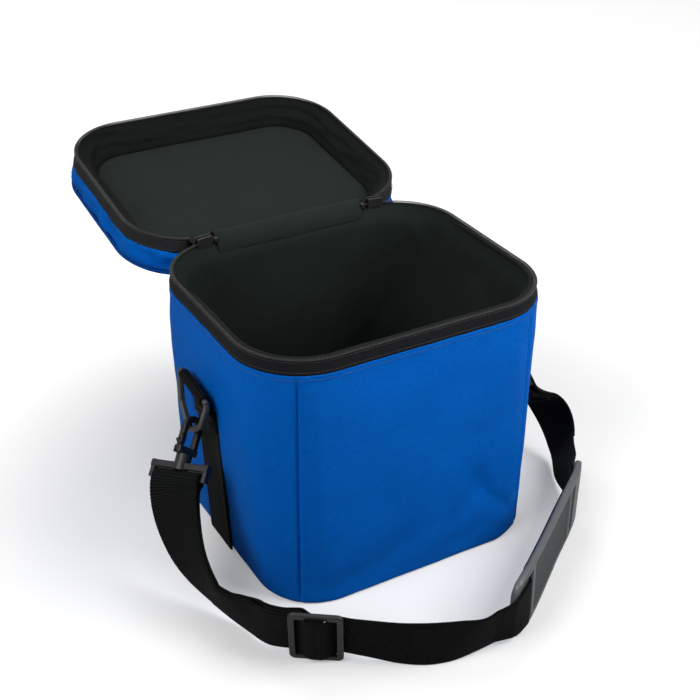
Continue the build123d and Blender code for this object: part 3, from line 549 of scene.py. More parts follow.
class Finishes:
    """The finishes of the case, each made once."""

    def __init__(self) -> None:
        """Make every material."""
        self.cover = WovenCover().make()
        # The piping gets a darker copy of the blue cover: painted shade along the lid's top edge.
        self.piping = WovenCover("piping_cover", 0.5, (0.002, 0.085, 0.40), (0.001, 0.05, 0.26)).make()
        self.lining = Lining().make()
        # A darker copy of the lining for the tray's walls and the lining's rolled edge: painted shade
        # where these sit in shadow.
        self.facing = Lining("facing", colour=(0.0095, 0.0115, 0.0105),
                             shade=(0.0030, 0.0038, 0.0034)).make()
        self.tape = ZipTape().make()
        # A lighter copy of the zip tape for the lid's half: painted light on the same tape.
        self.lid_tape = ZipTape("lid_zip_tape", colour=(0.030, 0.030, 0.032),
                                shade=(0.011, 0.011, 0.012)).make()
        self.coil = CoilNylon().make()
        self.webbing = StrapWeave().make()
        self.plastic = MouldedPlastic("fitting_plastic", (0.010, 0.010, 0.010),
                                      (0.055, 0.055, 0.054)).make()
        # The rings' plastic is painted grey, not black: painted highlight on the black ring's faces.
        self.ring = MouldedPlastic("ring_plastic", (0.052, 0.049, 0.047),
                                   (0.12, 0.116, 0.112)).make()
        self.metal = PaintedZinc().make()
        self.grip = PadRubber("pad_grip", (0.068, 0.078, 0.081), (0.028, 0.033, 0.035)).make()
        # A lighter copy of the pad rubber for the rails and the pad's sides: painted highlight on the
        # edges that catch the light.
        self.rail = PadRubber("pad_rail", (0.120, 0.128, 0.136), (0.060, 0.063, 0.067),
                              smooth=True).make()
        self.blue_thread = Thread("blue_thread", (0.004, 0.11, 0.46)).make()
        self.black_thread = Thread("black_thread", (0.022, 0.022, 0.022)).make()


# ---- mesh tools

class MeshMaker:
    """Collects grids and tubes in millimetres and turns them into one object in metres."""

    def __init__(self, name: str) -> None:
        """Start an empty mesh.

        Args:
            name: Name of the piece.
        """
        self.name = name
        self.points: list[Vector] = []
        self.faces: list[tuple[int, ...]] = []
        self.corners: list[tuple[tuple[float, float], ...]] = []
        self.slots: list[int] = []

    def grid(self, rows: Sequence[Sequence[Vector]], cloth: Sequence[Sequence[tuple[float, float]]],
             around: bool = False, slot: int = 0, flip: bool = False) -> None:
        """Add a grid of quads.

        Args:
            rows: Points, row by row.
            cloth: Lengths across and along the cloth at each point.
            around: Whether each row closes on itself; cloth then has one more column than rows.
            slot: Number of the material.
            flip: Whether the faces turn over.
        """
        start = len(self.points)
        width = len(rows[0])
        for row in rows:
            self.points.extend(row)
        for j in range(len(rows) - 1):
            for i in range(width if around else width - 1):
                k = (i + 1) % width
                quad = [start + j * width + i, start + j * width + k,
                        start + (j + 1) * width + k, start + (j + 1) * width + i]
                where = [cloth[j][i], cloth[j][i + 1], cloth[j + 1][i + 1], cloth[j + 1][i]]
                if flip:
                    quad.reverse()
                    where.reverse()
                self.faces.append(tuple(quad))
                self.corners.append(tuple(where))
                self.slots.append(slot)

    def caps(self, rows: Sequence[Sequence[Vector]], cloth: Sequence[Sequence[tuple[float, float]]],
             flip: bool = False) -> None:
        """Close both ends of a grid that goes around, with one face at each.

        Args:
            rows: The grid's points, row by row.
            cloth: The grid's cloth lengths.
            flip: Whether the faces turn over.
        """
        for ring, where, turned in ((rows[0], cloth[0], not flip), (rows[-1], cloth[-1], flip)):
            order = tuple(range(len(self.points), len(self.points) + len(ring)))
            self.points.extend(ring)
            self.face(order, dict(zip(order, where)), turned)

    def disc(self, rim: Sequence[Vector], spot: Callable[[Vector, float], Vector],
             move: Callable[[Vector], Vector] = lambda p: p, flip: bool = False) -> None:
        """Close the last row of a grid with rings that shrink to the middle and lose points on the way.

        Args:
            rim: Points of that row, before they are moved.
            spot: Where a point of the rim lies at a share of its way out from the middle.
            move: Where each point goes.
            flip: Whether the faces turn over.
        """
        outer = list(range(len(self.points) - len(rim), len(self.points)))
        flat = {index: (q.x, q.y) for index, q in zip(outer, rim)}
        sources = list(rim)
        for share, halved in DISC_RINGS:
            count = len(outer)
            if halved:
                sources = sources[::2]
            fresh = [spot(q, share) for q in sources]
            inner = list(range(len(self.points), len(self.points) + len(fresh)))
            self.points.extend(move(q) for q in fresh)
            flat.update({index: (q.x, q.y) for index, q in zip(inner, fresh)})
            for i, near in enumerate(inner):
                after = inner[(i + 1) % len(inner)]
                if not halved:
                    self.face((outer[i], outer[(i + 1) % count], after, near), flat, flip)
                elif 2 * i + 1 < count:
                    self.face((outer[2 * i], outer[2 * i + 1], near), flat, flip)
                    self.face((outer[2 * i + 1], outer[(2 * i + 2) % count], after, near), flat, flip)
                else:
                    self.face((outer[2 * i], outer[0], after, near), flat, flip)
            outer = inner
        self.face(tuple(outer), flat, flip)

    def face(self, corners: tuple[int, ...], flat: dict[int, tuple[float, float]], flip: bool,
             slot: int = 0) -> None:
        """Add one face from points that are there already.

        Args:
            corners: Numbers of the points, in order.
            flat: Cloth lengths by the number of the point.
            flip: Whether the face turns over.
            slot: Number of the material.
        """
        order = corners[::-1] if flip else corners
        self.faces.append(order)
        self.corners.append(tuple(flat[index] for index in order))
        self.slots.append(slot)

    def tube(self, path: Sequence[Vector], radius: float, sides: int, closed: bool = False) -> None:
        """Add a round tube along a path.

        Args:
            path: Points of the centre line.
            radius: Radius of the tube.
            sides: Number of sides.
            closed: Whether the path closes on itself.
        """
        count = len(path)
        turns = [math.tau * k / sides for k in range(sides)]
        side = Vector((0.0, 0.0, 1.0))
        rings: list[list[Vector]] = []
        cloth: list[list[tuple[float, float]]] = []
        run = 0.0
        for i, point in enumerate(path):
            before = path[i - 1] if i or closed else path[0]
            after = path[(i + 1) % count] if i < count - 1 or closed else path[-1]
            along = (after - before).normalized()
            side = side - along * side.dot(along)
            if side.length < 1e-4:
                side = along.orthogonal()
            side.normalize()
            up = along.cross(side)
            rings.append([point + (side * math.cos(a) + up * math.sin(a)) * radius for a in turns])
            if i:
                run += (point - path[i - 1]).length
            cloth.append([(math.tau * radius * k / sides, run) for k in range(sides + 1)])
        if closed:
            rings.append(rings[0])
            cloth.append([(u, run + (path[0] - path[-1]).length) for u, _ in cloth[0]])
        self.grid(rings, cloth, around=True)
        if not closed:
            self.caps(rings, cloth)

    def build(self, materials: Sequence[bpy.types.Material], body: str | None, record_slot: str,
              replaces: Sequence[str] = (), thickness: float = 0.0) -> bpy.types.Object:
        """Make the object and seat it in the frame.

        Args:
            materials: Materials, in the order of their slot numbers.
            body: Body that the piece rides on, or None for a piece that rides on no body.
            record_slot: Material slot of the record; not used.
            replaces: CAD nodes that the piece stands for.
            thickness: Thickness that the sheet gets, inwards.

        Returns:
            The new object.
        """
        mesh = bpy.data.meshes.new(self.name)
        mesh.from_pydata([tuple(p * MM) for p in self.points], [], self.faces)
        layer = mesh.uv_layers.new(name="cloth")
        flat = [n for face in self.corners for where in face for n in where]
        layer.uv.foreach_set("vector", flat)
        mesh.polygons.foreach_set("use_smooth", [True] * len(self.faces))
        mesh.polygons.foreach_set("material_index", self.slots)
        for material in materials:
            mesh.materials.append(material)
        mesh.validate()
        piece = bpy.data.objects.new(self.name, mesh)
        bpy.context.scene.collection.objects.link(piece)
        if thickness:
            solid = piece.modifiers.new("thickness", "SOLIDIFY")
            solid.thickness = thickness * MM
            solid.offset = -1.0
        if replaces:
            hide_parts(*replaces)
        if body is not None:
            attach(piece, body)
        log.info("%s: %d points", self.name, len(self.points))
        return piece


def ease(value: float, low: float, high: float) -> float:
    """Smooth rise from 0 at low to 1 at high."""
    t = min(max((value - low) / (high - low), 0.0), 1.0)
    return t * t * (3.0 - 2.0 * t)


def ripple(x: float, y: float, seed: float, octaves: int = 2) -> float:
    """Gentle noise from about -1 to 1 at a place, the same in every run."""
    return noise.fractal(Vector((x, y, seed)), 0.8, 2.0, octaves, noise_basis="PERLIN_ORIGINAL") * 1.6


@dataclass(frozen=True)
class Wave:
    """Soft uneven waves in cloth: their height, how tightly they follow each other, and a seed."""

    height: float
    across: float
    up: float
    seed: float
    octaves: int = 2

    def at(self, x: float, y: float) -> float:
        """Height at a place."""
        return self.height * ripple(x * self.across, y * self.up, self.seed, self.octaves)


def steps(low: float, high: float, size: float) -> list[float]:
    """Even values from low to high, about size apart."""
    count = max(1, round(abs(high - low) / size))
    return [low + (high - low) * i / count for i in range(count + 1)]


def bell(away: float, reach: float) -> float:
    """Bump that is 1 where away is 0 and has faded at about twice its reach."""
    return math.exp(-(away / reach) ** 2)


def eased_path(marks: Sequence[tuple[float, ...]], size: float) -> list[tuple[float, ...]]:
    """Cut a path into short steps and ease its corners.

    Args:
        marks: Corners of the path; the first two numbers of each are its place.
        size: Length of a step, about.

    Returns:
        The finer path.
    """
    fine = [marks[0]]
    for a, b in zip(marks, marks[1:]):
        count = max(1, round(math.dist(a[:2], b[:2]) / size))
        fine += [tuple(p + (q - p) * k / count for p, q in zip(a, b)) for k in range(1, count + 1)]
    for _ in range(3):
        eased = [tuple((p + 2 * q + r) / 4 for p, q, r in zip(*trio))
                 for trio in zip(fine, fine[1:], fine[2:])]
        fine = [fine[0], *eased, fine[-1]]
    return fine


def webbing_section(width: float, thick: float, bevel: float) -> list[tuple[float, float]]:
    """Cross section of webbing, round at its edges.

    Args:
        width: Width of the webbing.
        thick: Thickness of the webbing.
        bevel: Share of half the thickness at which an edge has its corners.

    Returns:
        Points across and outwards from the middle.
    """
    half, t = width / 2, thick / 2
    rim, cut = half - t, t * bevel
    found = []
    for side in (1.0, -1.0):
        found += [(x, side * t) for x in steps(-side * rim, side * rim, rim / 4)]
        found += [(side * (rim + cut), side * cut), (side * half, 0.0), (side * (rim + cut), -side * cut)]
    return found


def flat_cloth(ring: Sequence[Vector]) -> list[tuple[float, float]]:
    """Cloth lengths of a level ring of points, with the first again at the end."""
    return [(q.x, q.y) for q in (*ring, ring[0])]


# ---- case outline

class Side(Enum):
    """Side of the case; the value is its sign along the front."""

    LEFT = -1
    RIGHT = 1

    @property
    def label(self) -> str:
        """The side's word in the names of pieces."""
        return self.name.lower()


@dataclass(frozen=True)
class CaseOutline:
    """Rounded rectangle that changes evenly from base to rim.

    A place on it is a number from 0 to 8: even spans are the front, right, back and left, and odd
    ones the corners that follow them.
    """

    height: float = 180.0
    base_half: tuple[float, float] = (104.0, 100.5)
    base_corner: float = 43.0
    rim_half: tuple[float, float] = (113.0, 93.0)
    rim_corner: float = 50.0
    rim_shift: float = -2.3
    corners: tuple[tuple[int, int], ...] = ((-1, -1), (1, -1), (1, 1), (-1, 1), (-1, -1))

    def at(self, place: float, z: float, inset: float = 0.0) -> tuple[Vector, Vector]:
        """Point on the outline.

        Args:
            place: Span number plus the share of the way along it.
            z: Height.
            inset: Distance inwards.

        Returns:
            The point and the outward normal in the level plane.
        """
        t = min(max(z / self.height, 0.0), 1.0)
        half_x = self.base_half[0] + (self.rim_half[0] - self.base_half[0]) * t
        half_y = self.base_half[1] + (self.rim_half[1] - self.base_half[1]) * t
        corner = self.base_corner + (self.rim_corner - self.base_corner) * t
        turn, in_corner = divmod(math.floor(place) % 8, 2)
        share = place - math.floor(place)
        along, bend = (1.0, share) if in_corner else (share, 0.0)
        (ax, ay), (bx, by) = self.corners[turn:turn + 2]
        angle = math.radians(90.0 * (turn - 1 + bend))
        cos, sin = math.cos(angle), math.sin(angle)
        x = (half_x - corner) * (ax + (bx - ax) * along) + corner * cos
        y = (half_y - corner) * (ay + (by - ay) * along) + corner * sin + self.rim_shift * t
        normal = Vector((cos, sin, 0.0))
        return Vector((x, y, z)) - normal * inset, normal

    def lengths(self) -> list[float]:
        """Length of each span at the rim."""
        arc, (wide, deep) = math.pi / 2 * self.rim_corner, self.rim_half
        return [2 * (wide - self.rim_corner), arc, 2 * (deep - self.rim_corner), arc] * 2

    def run(self, place: float) -> float:
        """Length round the rim from the start of the front to a place."""
        sizes, whole = self.lengths(), math.floor(place)
        return (whole // 8) * sum(sizes) + sum(sizes[:whole % 8]) + sizes[whole % 8] * (place - whole)

    def places(self, first: float, last: float, size: float) -> list[float]:
        """Places along the outline, with every span's end among them.

        Args:
            first: Place to start from.
            last: Place to end at.
            size: Distance between two places, about.

        Returns:
            The places in order.
        """
        marks = [first] + [float(n) for n in range(math.floor(first) + 1, math.ceil(last))] + [last]
        found = [first]
        for a, b in zip(marks, marks[1:]):
            found += steps(a, b, size / self.lengths()[math.floor((a + b) / 2) % 8])[1:]
        return found

    def back_place(self, x: float) -> float:
        """Place on the back's straight at a distance x from the middle, right of it if positive."""
        return 4.5 - x / self.lengths()[4]

    def corner_place(self, x: float) -> float:
        """Place in the right rear corner at a distance x from the middle."""
        start = self.rim_half[0] - self.rim_corner
        return 3.0 + math.acos((x - start) / self.rim_corner) / (math.pi / 2)


OUTLINE = CaseOutline()


@dataclass(frozen=True)
class ZipLine:
    """Heights and insets that the case's two zip halves share."""

    rim: float = 180.0
    tape_top: float = 189.8
    lid_coil_low: float = 192.5
    lid_edge: float = 194.0
    lid_wall_low: float = 204.0
    lid_seam: float = 221.0
    lid_top: float = 222.2
    lean: float = 2.0
    tape_end: float = 59.0
    lid_start: float = 77.5
    hinge_y: float = 91.7
    hinge_z: float = 191.9
    open_angle: float = 172.0

    def lean_at(self, z: float) -> float:
        """Inward lean of the tape at a height."""
        low, high = (self.rim, self.tape_top) if z < self.hinge_z else (self.lid_wall_low, self.lid_edge)
        return max(0.0, self.lean * (z - low) / (high - low))

    def opened(self, point: Vector) -> Vector:
        """Lay a point of the closed lid open.

        Args:
            point: Point with the lid closed.

        Returns:
            The point with the lid open.
        """
        angle = math.radians(-self.open_angle)
        y, z = point.y - self.hinge_y, point.z - self.hinge_z
        return Vector((point.x, self.hinge_y + y * math.cos(angle) - z * math.sin(angle),
                       self.hinge_z + y * math.sin(angle) + z * math.cos(angle)))


ZIP = ZipLine()


@dataclass
class Stitching:
    """Rows of sewn stitches, each stitch a small rounded bar sunk at its ends."""

    name: str
    length: float
    pitch: float
    radius: float
    # Share of the length, and lift over the cloth in radii, at a stitch's four points.
    arch: tuple[tuple[float, float], ...] = ((0.0, -0.25), (0.2, 0.75), (0.8, 0.75), (1.0, -0.25))

    def __post_init__(self) -> None:
        """Start with no stitches."""
        self.maker = MeshMaker(self.name)

    def row(self, spots: Sequence[tuple[Vector, Vector]]) -> None:
        """Sew one row.

        Args:
            spots: Points on the cloth's surface, each with its outward direction.
        """
        path, normals = zip(*spots)
        marks = [0.0]
        for a, b in zip(path, path[1:]):
            marks.append(marks[-1] + (b - a).length)
        start = self.pitch / 2
        index = 0
        while start + self.length < marks[-1]:
            points = []
            for share, lift in self.arch:
                s = start + self.length * share
                while index < len(marks) - 2 and marks[index + 1] < s:
                    index += 1
                t = (s - marks[index]) / (marks[index + 1] - marks[index])
                normal = normals[index].lerp(normals[index + 1], t)
                points.append(path[index].lerp(path[index + 1], t) + normal * self.radius * lift)
            self.maker.tube(points, self.radius, 5)
            start += self.pitch

    def build(self, material: bpy.types.Material, body: str, record_slot: str) -> None:
        """Make the stitches one piece that rides on a body."""
        self.maker.build([material], body, record_slot)


# ---- case body

@dataclass
class BodyCover:
    """Blue woven covers of the four walls and the base."""

    finishes: Finishes
    cell: float = 3.2
    puff: float = 1.3
    seam_depth: float = 1.9
    seam_width: float = 1.5
    seam_forward: tuple[float, float] = (0.05, 0.17)
    dent_depth: float = 1.6
    bottom_radius: float = 3.0
    bottom_gap: float = 0.35
    top: float = 180.1
    hem: float = 0.9
    thickness: float = 1.1
    base_thickness: float = 0.9
    base_steps: tuple[tuple[float, float], ...] = (
        (2.6, 0.9), (3.6, 0.35), (5.0, 0.2), (12.0, 0.25), (24.0, 0.3), (36.0, 0.3))
    base_swell: float = 0.3
    stitch_height: float = 177.2
    swell_rise: tuple[float, float] = (2.0, 34.0)
    swell_fall: tuple[float, float] = (150.0, 178.0)
    swell_reach: float = 24.0
    ridge: tuple[float, float, float] = (0.35, 4.5, 2.2)
    wall_wave: Wave = Wave(0.75, 0.016, 0.013, 3.1, 3)
    top_wave: Wave = Wave(0.35, 0.07, 0.02, 9.4)
    top_band: tuple[float, float] = (176.0, 9.0)
    low_wave: Wave = Wave(0.7, 0.035, 0.03, 5.7)
    low_band: tuple[float, float] = (16.0, 14.0)
    # Place, height, half width, half height, lean and depth.
    knocks: tuple[tuple[float, float, float, float, float, float], ...] = (
        (0.90, 54.0, 12.0, 18.0, -0.4, 1.8), (1.10, 36.0, 6.0, 14.0, -0.9, 1.6),
        (0.78, 40.0, 8.0, 16.0, 0.6, 0.6), (1.02, 44.0, 5.0, 13.0, -0.7, -1.1),
        (0.35, 30.0, 30.0, 12.0, 0.0, 0.5), (6.4, 40.0, 16.0, 30.0, 0.0, 0.5))
    seams: tuple[float, ...] = (1.5, 3.5, 5.5, 7.5)
    walls: tuple[str, ...] = ("front", "right_side", "back", "left_side")

    def relief(self, place: float, z: float) -> float:
        """How far the cloth stands out from the plain outline.

        Args:
            place: Place on the outline.
            z: Height.

        Returns:
            Distance outwards.
        """
        run = OUTLINE.run(place % 8.0)
        total = sum(OUTLINE.lengths())
        gaps = [abs(run - OUTLINE.run(seam)) for seam in self.seams]
        near = min(min(gap, total - gap) for gap in gaps)
        level = ease(z, *self.swell_rise) * (1.0 - ease(z, *self.swell_fall))
        body = ease(near, 0.0, self.swell_reach)
        out = self.puff * level * body
        sewn = ease(z, 0.0, 9.0) * (1.0 - 0.8 * ease(z, 168.0, 178.0))
        out -= self.seam_depth * bell(near, self.seam_width) * sewn
        height, away, reach = self.ridge
        out += height * bell(near - away, reach)
        out += body * level * self.wall_wave.at(run, z)
        out += bell(z - self.top_band[0], self.top_band[1]) * self.top_wave.at(run, z)
        out += bell(z - self.low_band[0], self.low_band[1]) * body * self.low_wave.at(run, z)
        return out + self.dents(place, z)

    def dents(self, place: float, z: float) -> float:
        """Soft dents where the walls have been knocked.

        Args:
            place: Place on the outline.
            z: Height.

        Returns:
            Distance outwards, below 0 in a dent.
        """
        found = 0.0
        for at, height, wide, tall, lean, depth in self.knocks:
            away = OUTLINE.run(place % 8.0) - OUTLINE.run(at) - lean * (z - height)
            found -= self.dent_depth * depth * bell(away, wide) * bell(z - height, tall)
        return found

    def surface(self, place: float, z: float) -> tuple[Vector, Vector]:
        """Point on the cloth.

        Args:
            place: Place on the outline.
            z: Height.

        Returns:
            The point and the outward normal.
        """
        low = max(0.0, self.bottom_radius - z)
        curl = self.bottom_radius - math.sqrt(max(self.bottom_radius ** 2 - low ** 2, 0.0))
        return OUTLINE.at(self.sewn_at(place, z), z, curl - self.relief(place, z))

    def sewn_at(self, place: float, z: float) -> float:
        """Where the cloth of a place lies: the front seams sit forward, most at the rim.

        Args:
            place: Place on the panels, which meet at the seams.
            z: Height.

        Returns:
            Place on the outline.
        """
        low, high = self.seam_forward
        forward = low + (high - low) * z / OUTLINE.height
        for seam, side in ((7.5, 1.0), (1.5, -1.0)):
            away = abs((place - seam + 4.0) % 8.0 - 4.0)
            place += side * forward * (1.0 - ease(away, 0.0, 0.6))
        return place

    def panel(self, node: str, first: float, last: float) -> None:
        """One wall's cover, with its edges turned in at the seams and the rim.

        Args:
            node: CAD node that it stands for.
            first: Place of its first seam.
            last: Place of its last seam.
        """
        reach = last - first
        close = [shift * reach for shift in (0.0015, 0.004)]
        edge = [first + shift for shift in close] + [last - shift for shift in reversed(close)]
        places = sorted(set(OUTLINE.places(first, last, self.cell) + edge))
        heights = [self.bottom_gap, 1.0, 2.0, 3.4] + steps(6.0, 174.0, self.cell)
        heights += [176.5, 178.6, 179.6, self.top]
        rows = [[self.surface(p, z)[0] for p in places] for z in heights]
        fold = []
        for p in places:
            point, normal = self.surface(p, self.top)
            fold.append(point - normal * self.hem + Vector((0.0, 0.0, 0.1)))
        rows.append(fold)
        cloth = [[(OUTLINE.run(p), z) for p in places] for z in (*heights, self.top + self.hem)]
        maker = MeshMaker("cover_" + node)
        maker.grid(rows, cloth)
        piece = maker.build([self.finishes.cover], "case", "blue_weave", [node], self.thickness)

    def base(self) -> None:
        """Cover under the case, sewn to the walls all round."""
        places = OUTLINE.places(0.0, 8.0, 5.0)[:-1]
        rows = [[OUTLINE.at(p, 0.0, inset)[0] + Vector((0, 0, z)) for p in places]
                for inset, z in self.base_steps]
        maker = MeshMaker("cover_base")
        maker.grid(rows, [flat_cloth(row) for row in rows], around=True, flip=True)
        maker.disc(rows[-1], self.base_point, flip=True)
        maker.build([self.finishes.cover], "case", "blue_weave", ["base_panel"], self.base_thickness)

    def base_point(self, rim: Vector, share: float) -> Vector:
        """A point of the base at a share of the way out to a point of its rim."""
        return Vector().lerp(rim, share) + Vector((0, 0, self.base_swell * (1 - share)))

    def stitches(self) -> None:
        """Top stitching below the rim."""
        sewing = Stitching("rim_stitches", 2.5, 3.3, 0.26)
        sewing.row([self.surface(p, self.stitch_height) for p in OUTLINE.places(0.0, 8.0, 3.0)])
        sewing.build(self.finishes.blue_thread, "case", "blue_weave")

    def make(self) -> None:
        """Build every cover."""
        for wall, last in zip(self.walls, self.seams):
            self.panel(f"{wall}_panel", last - 2.0, last)
        self.base()
        self.stitches()


@dataclass
class BodyZip:
    """Tape, coil and sewing of the body's half of the zip."""

    finishes: Finishes
    pitch: float = 1.7
    wire: float = 0.38
    coil_sides: int = 8
    coil_reach: float = 1.25
    coil_rise: float = 0.42
    coil_middle: float = 0.7
    coil_inset: float = 0.5
    coil_lean: float = 0.34
    coil_low: float = 189.9
    thickness: float = 0.9
    # Height and inset of the tape, from its sewn edge to the coil.
    tape_steps: tuple[tuple[float, float], ...] = (
        (178.4, 1.1), (180.0, 0.9), (180.8, 0.45), (182.0, 0.45), (184.4, 0.9), (187.0, 1.4), (189.0, 1.8),
        (189.8, 2.0))
    sewing_steps: tuple[tuple[float, float], ...] = ((188.9, 1.75), (182.4, 0.5))
    wave: Wave = Wave(0.16, 0.05, 0.1, 1.7)

    def coil(self, name: str, node: str, low: float, first: float, last: float, body: str, up: float,
             move: Callable[[Vector], Vector] = lambda p: p) -> None:
        """A coil as a real spiral of wire.

        Args:
            name: Name of the piece.
            node: CAD node that it stands for.
            low: Lower edge of the coil.
            first: Place where it starts.
            last: Place where it ends.
            body: Body that it rides on.
            up: 1 if the teeth point up, -1 if down.
            move: Where each point goes.
        """
        inset = ZIP.lean_at(ZIP.tape_top) + self.coil_inset
        fine = OUTLINE.places(first, last, 2.0)
        runs = [OUTLINE.run(p) for p in fine]
        length = runs[-1] - runs[0]
        turns = round(length / self.pitch)
        path = []
        index = 0
        for i in range(turns * self.coil_sides + 1):
            turn = i / self.coil_sides
            angle = math.tau * (turn % 1.0)
            lean = self.coil_lean * self.pitch * math.sin(angle)
            run = min(max(runs[0] + length * turn / turns + lean, runs[0]), runs[-1])
            while index > 0 and runs[index] > run:
                index -= 1
            while index < len(runs) - 2 and runs[index + 1] < run:
                index += 1
            t = (run - runs[index]) / (runs[index + 1] - runs[index])
            place = fine[index] + (fine[index + 1] - fine[index]) * t
            height = low + self.coil_middle + up * self.coil_rise * math.sin(angle)
            path.append(move(OUTLINE.at(place, height, inset - self.coil_reach * math.cos(angle))[0]))
        maker = MeshMaker(name)
        maker.tube(path, self.wire, 5)
        maker.build([self.finishes.coil], body, "zip_coil", [node])

    def make(self) -> None:
        """Build the tape that leans in over the rim, its sewing and its coil."""
        first, last = OUTLINE.back_place(-ZIP.tape_end) - 8.0, OUTLINE.back_place(ZIP.tape_end)
        places = OUTLINE.places(first, last, 3.0)
        rows = []
        for z, inset in self.tape_steps:
            insets = [inset - self.wave.at(OUTLINE.run(p), z) for p in places]
            rows.append([OUTLINE.at(p, z, deep)[0] for p, deep in zip(places, insets)])
        cloth = [[(OUTLINE.run(p), z) for p in places] for z, _ in self.tape_steps]
        maker = MeshMaker("body_tape")
        maker.grid(rows, cloth)
        maker.build([self.finishes.tape], "case", "zip_tape", ["body_zip_tape"], self.thickness)
        sewing = Stitching("tape_stitches", 2.4, 3.1, 0.22)
        for z, inset in self.sewing_steps:
            sewing.row([OUTLINE.at(p, z, inset) for p in places])
        sewing.build(self.finishes.black_thread, "case", "zip_tape")
        self.coil("body_coil", "body_zip_coil", self.coil_low, first, last, "case", 1.0)


@dataclass
class BodyLining:
    """Black lining from the zip down into the case, with its folds and floor."""

    finishes: Finishes
    cell: float = 3.5
    thickness: float = 0.5
    floor: float = 6.2
    floor_wave: Wave = Wave(0.35, 0.03, 0.03, 2.0)
    # Height and inset of the lining, from the floor to the zip.
    marks: tuple[tuple[float, float], ...] = (
        (5.0, 7.2), (172.0, 7.3), (177.0, 7.0), (181.0, 5.9), (185.0, 4.4), (188.6, 3.0), (189.4, 2.95))
    looseness: float = 1.5
    # Place, height of its top, half width and tilt of each long fold.
    folds: tuple[tuple[float, float, float, float], ...] = (
        (1.62, 176.0, 9.0, 0.55), (1.25, 160.0, 8.0, -0.5), (3.4, 170.0, 10.0, 0.6),
        (5.6, 172.0, 9.0, -0.6), (7.4, 165.0, 9.0, 0.5), (2.5, 150.0, 12.0, 0.8))
    fold_depth: float = 2.6
    hinge_dip: float = 181.5
    hinge_rise: float = 7.5
    roll_radius: float = 1.7
    roll_height: float = 189.3
    roll_inset: float = 5.3
    roll_first: float = -1.97
    roll_last: float = 2.97
    roll_sides: int = 10

    def inset(self, z: float) -> float:
        """Inset of the lining.

        Args:
            z: Height.

        Returns:
            Distance inwards from the case's outline.
        """
        for (za, ia), (zb, ib) in zip(self.marks, self.marks[1:]):
            if z <= zb:
                return ia + (ib - ia) * (z - za) / (zb - za)
        return self.marks[-1][1]

    def fold(self, place: float, z: float) -> float:
        """How far the loose cloth stands in from the padding.

        Args:
            place: Place on the outline.
            z: Height.

        Returns:
            Distance inwards.
        """
        run = OUTLINE.run(place % 8.0)
        deep = ease(188.0 - z, 0.0, 14.0) * ease(z, 6.0, 30.0)
        loose = 0.5 + 0.5 * ripple(run * 0.012, z * 0.006, 21.0)
        creases = 0.6 + abs(ripple(run * 0.035 + z * 0.008, z * 0.011, 14.0, 3))
        found = self.looseness * deep * loose * creases
        for at, top, wide, tilt in self.folds:
            long = ease(z, top - 70.0, top - 20.0) * (1.0 - ease(z, top - 4.0, top + 12.0))
            found += self.fold_depth * long * bell(run - OUTLINE.run(at) - tilt * (z - top), wide)
        return found

    def roll(self) -> None:
        """Soft rolled edge of the lining inside the zip, from one slider's travel to the other's."""
        places = OUTLINE.places(self.roll_first, self.roll_last, 2.4)
        path, sizes = [], []
        for p in places:
            end = ease(min(p - self.roll_first, self.roll_last - p), 0.0, 0.35)
            wave = 1.0 + 0.10 * ripple(OUTLINE.run(p % 8.0) * 0.03, 0.0, 77.0, 2)
            path.append(OUTLINE.at(p, self.roll_height - (1.0 - end) * 1.4, self.roll_inset)[0])
            sizes.append(self.roll_radius * (0.45 + 0.55 * end) * wave)
        turns = [k / self.roll_sides for k in range(self.roll_sides + 1)]
        rows = []
        for i, (centre, size) in enumerate(zip(path, sizes)):
            along = (path[min(i + 1, len(path) - 1)] - path[max(i - 1, 0)]).normalized()
            wide = Vector((-along.y, along.x, 0.0)) * size * 1.25
            tall = Vector((0.0, 0.0, size))
            rows.append([centre + wide * math.cos(math.tau * t) + tall * math.sin(math.tau * t)
                         for t in turns[:-1]])
        cloth = [[(OUTLINE.run(p), 12.0 * t) for t in turns] for p in places]
        maker = MeshMaker("lining_roll")
        maker.grid(rows, cloth, around=True, flip=True)
        maker.caps(rows, cloth, flip=True)
        # The rolled edge takes the darker copy of the lining: painted shade.
        maker.build([self.finishes.facing], "case", "black_lining")

    def floor_point(self, rim: Vector, share: float) -> Vector:
        """A point of the floor at a share of the way out to a point of its rim."""
        x, y = rim.x * share, rim.y * share
        return Vector((x, y, self.floor + abs(self.floor_wave.at(x, y))))

    def wall_point(self, place: float, z: float) -> Vector:
        """A point of the lining's walls, which dip where the hinge joins them.

        Args:
            place: Place on the outline.
            z: Height, apart from the dip.

        Returns:
            The point.
        """
        back = OUTLINE.at(place, OUTLINE.height)[0]
        if back.y > 60.0:
            limit = self.hinge_dip + self.hinge_rise * ease(abs(back.x), 57.0, 62.0)
            z = min(z, limit) - 0.02 * max(0.0, z - limit)
        return OUTLINE.at(place, z, self.inset(z) + self.fold(place, z))[0]

    def make(self) -> None:
        """Build the lining bag and its rolled edge."""
        self.roll()
        places = OUTLINE.places(0.0, 8.0, self.cell)[:-1]
        heights = [189.2, 188.4, 187.0, 185.0, 183.0, 181.0, 179.0, 177.0]
        heights += steps(174.0, 12.0, self.cell) + [9.0, 7.2]
        rows = [[self.wall_point(p, z) for p in places] for z in heights]
        rows.append([OUTLINE.at(p, 6.0, 9.5)[0] + Vector((0, 0, 0.5)) for p in places])
        cloth = [[(OUTLINE.run(p), z) for p in places + [8.0]] for z in heights]
        maker = MeshMaker("case_lining")
        maker.grid(rows, cloth + [flat_cloth(rows[-1])], around=True)
        maker.disc(rows[-1], self.floor_point)
        maker.build([self.finishes.lining], "case", "black_lining",
                    ["body_lining", "rim_binding", "wall_foam", "base_board"], self.thickness)


# ---- lid

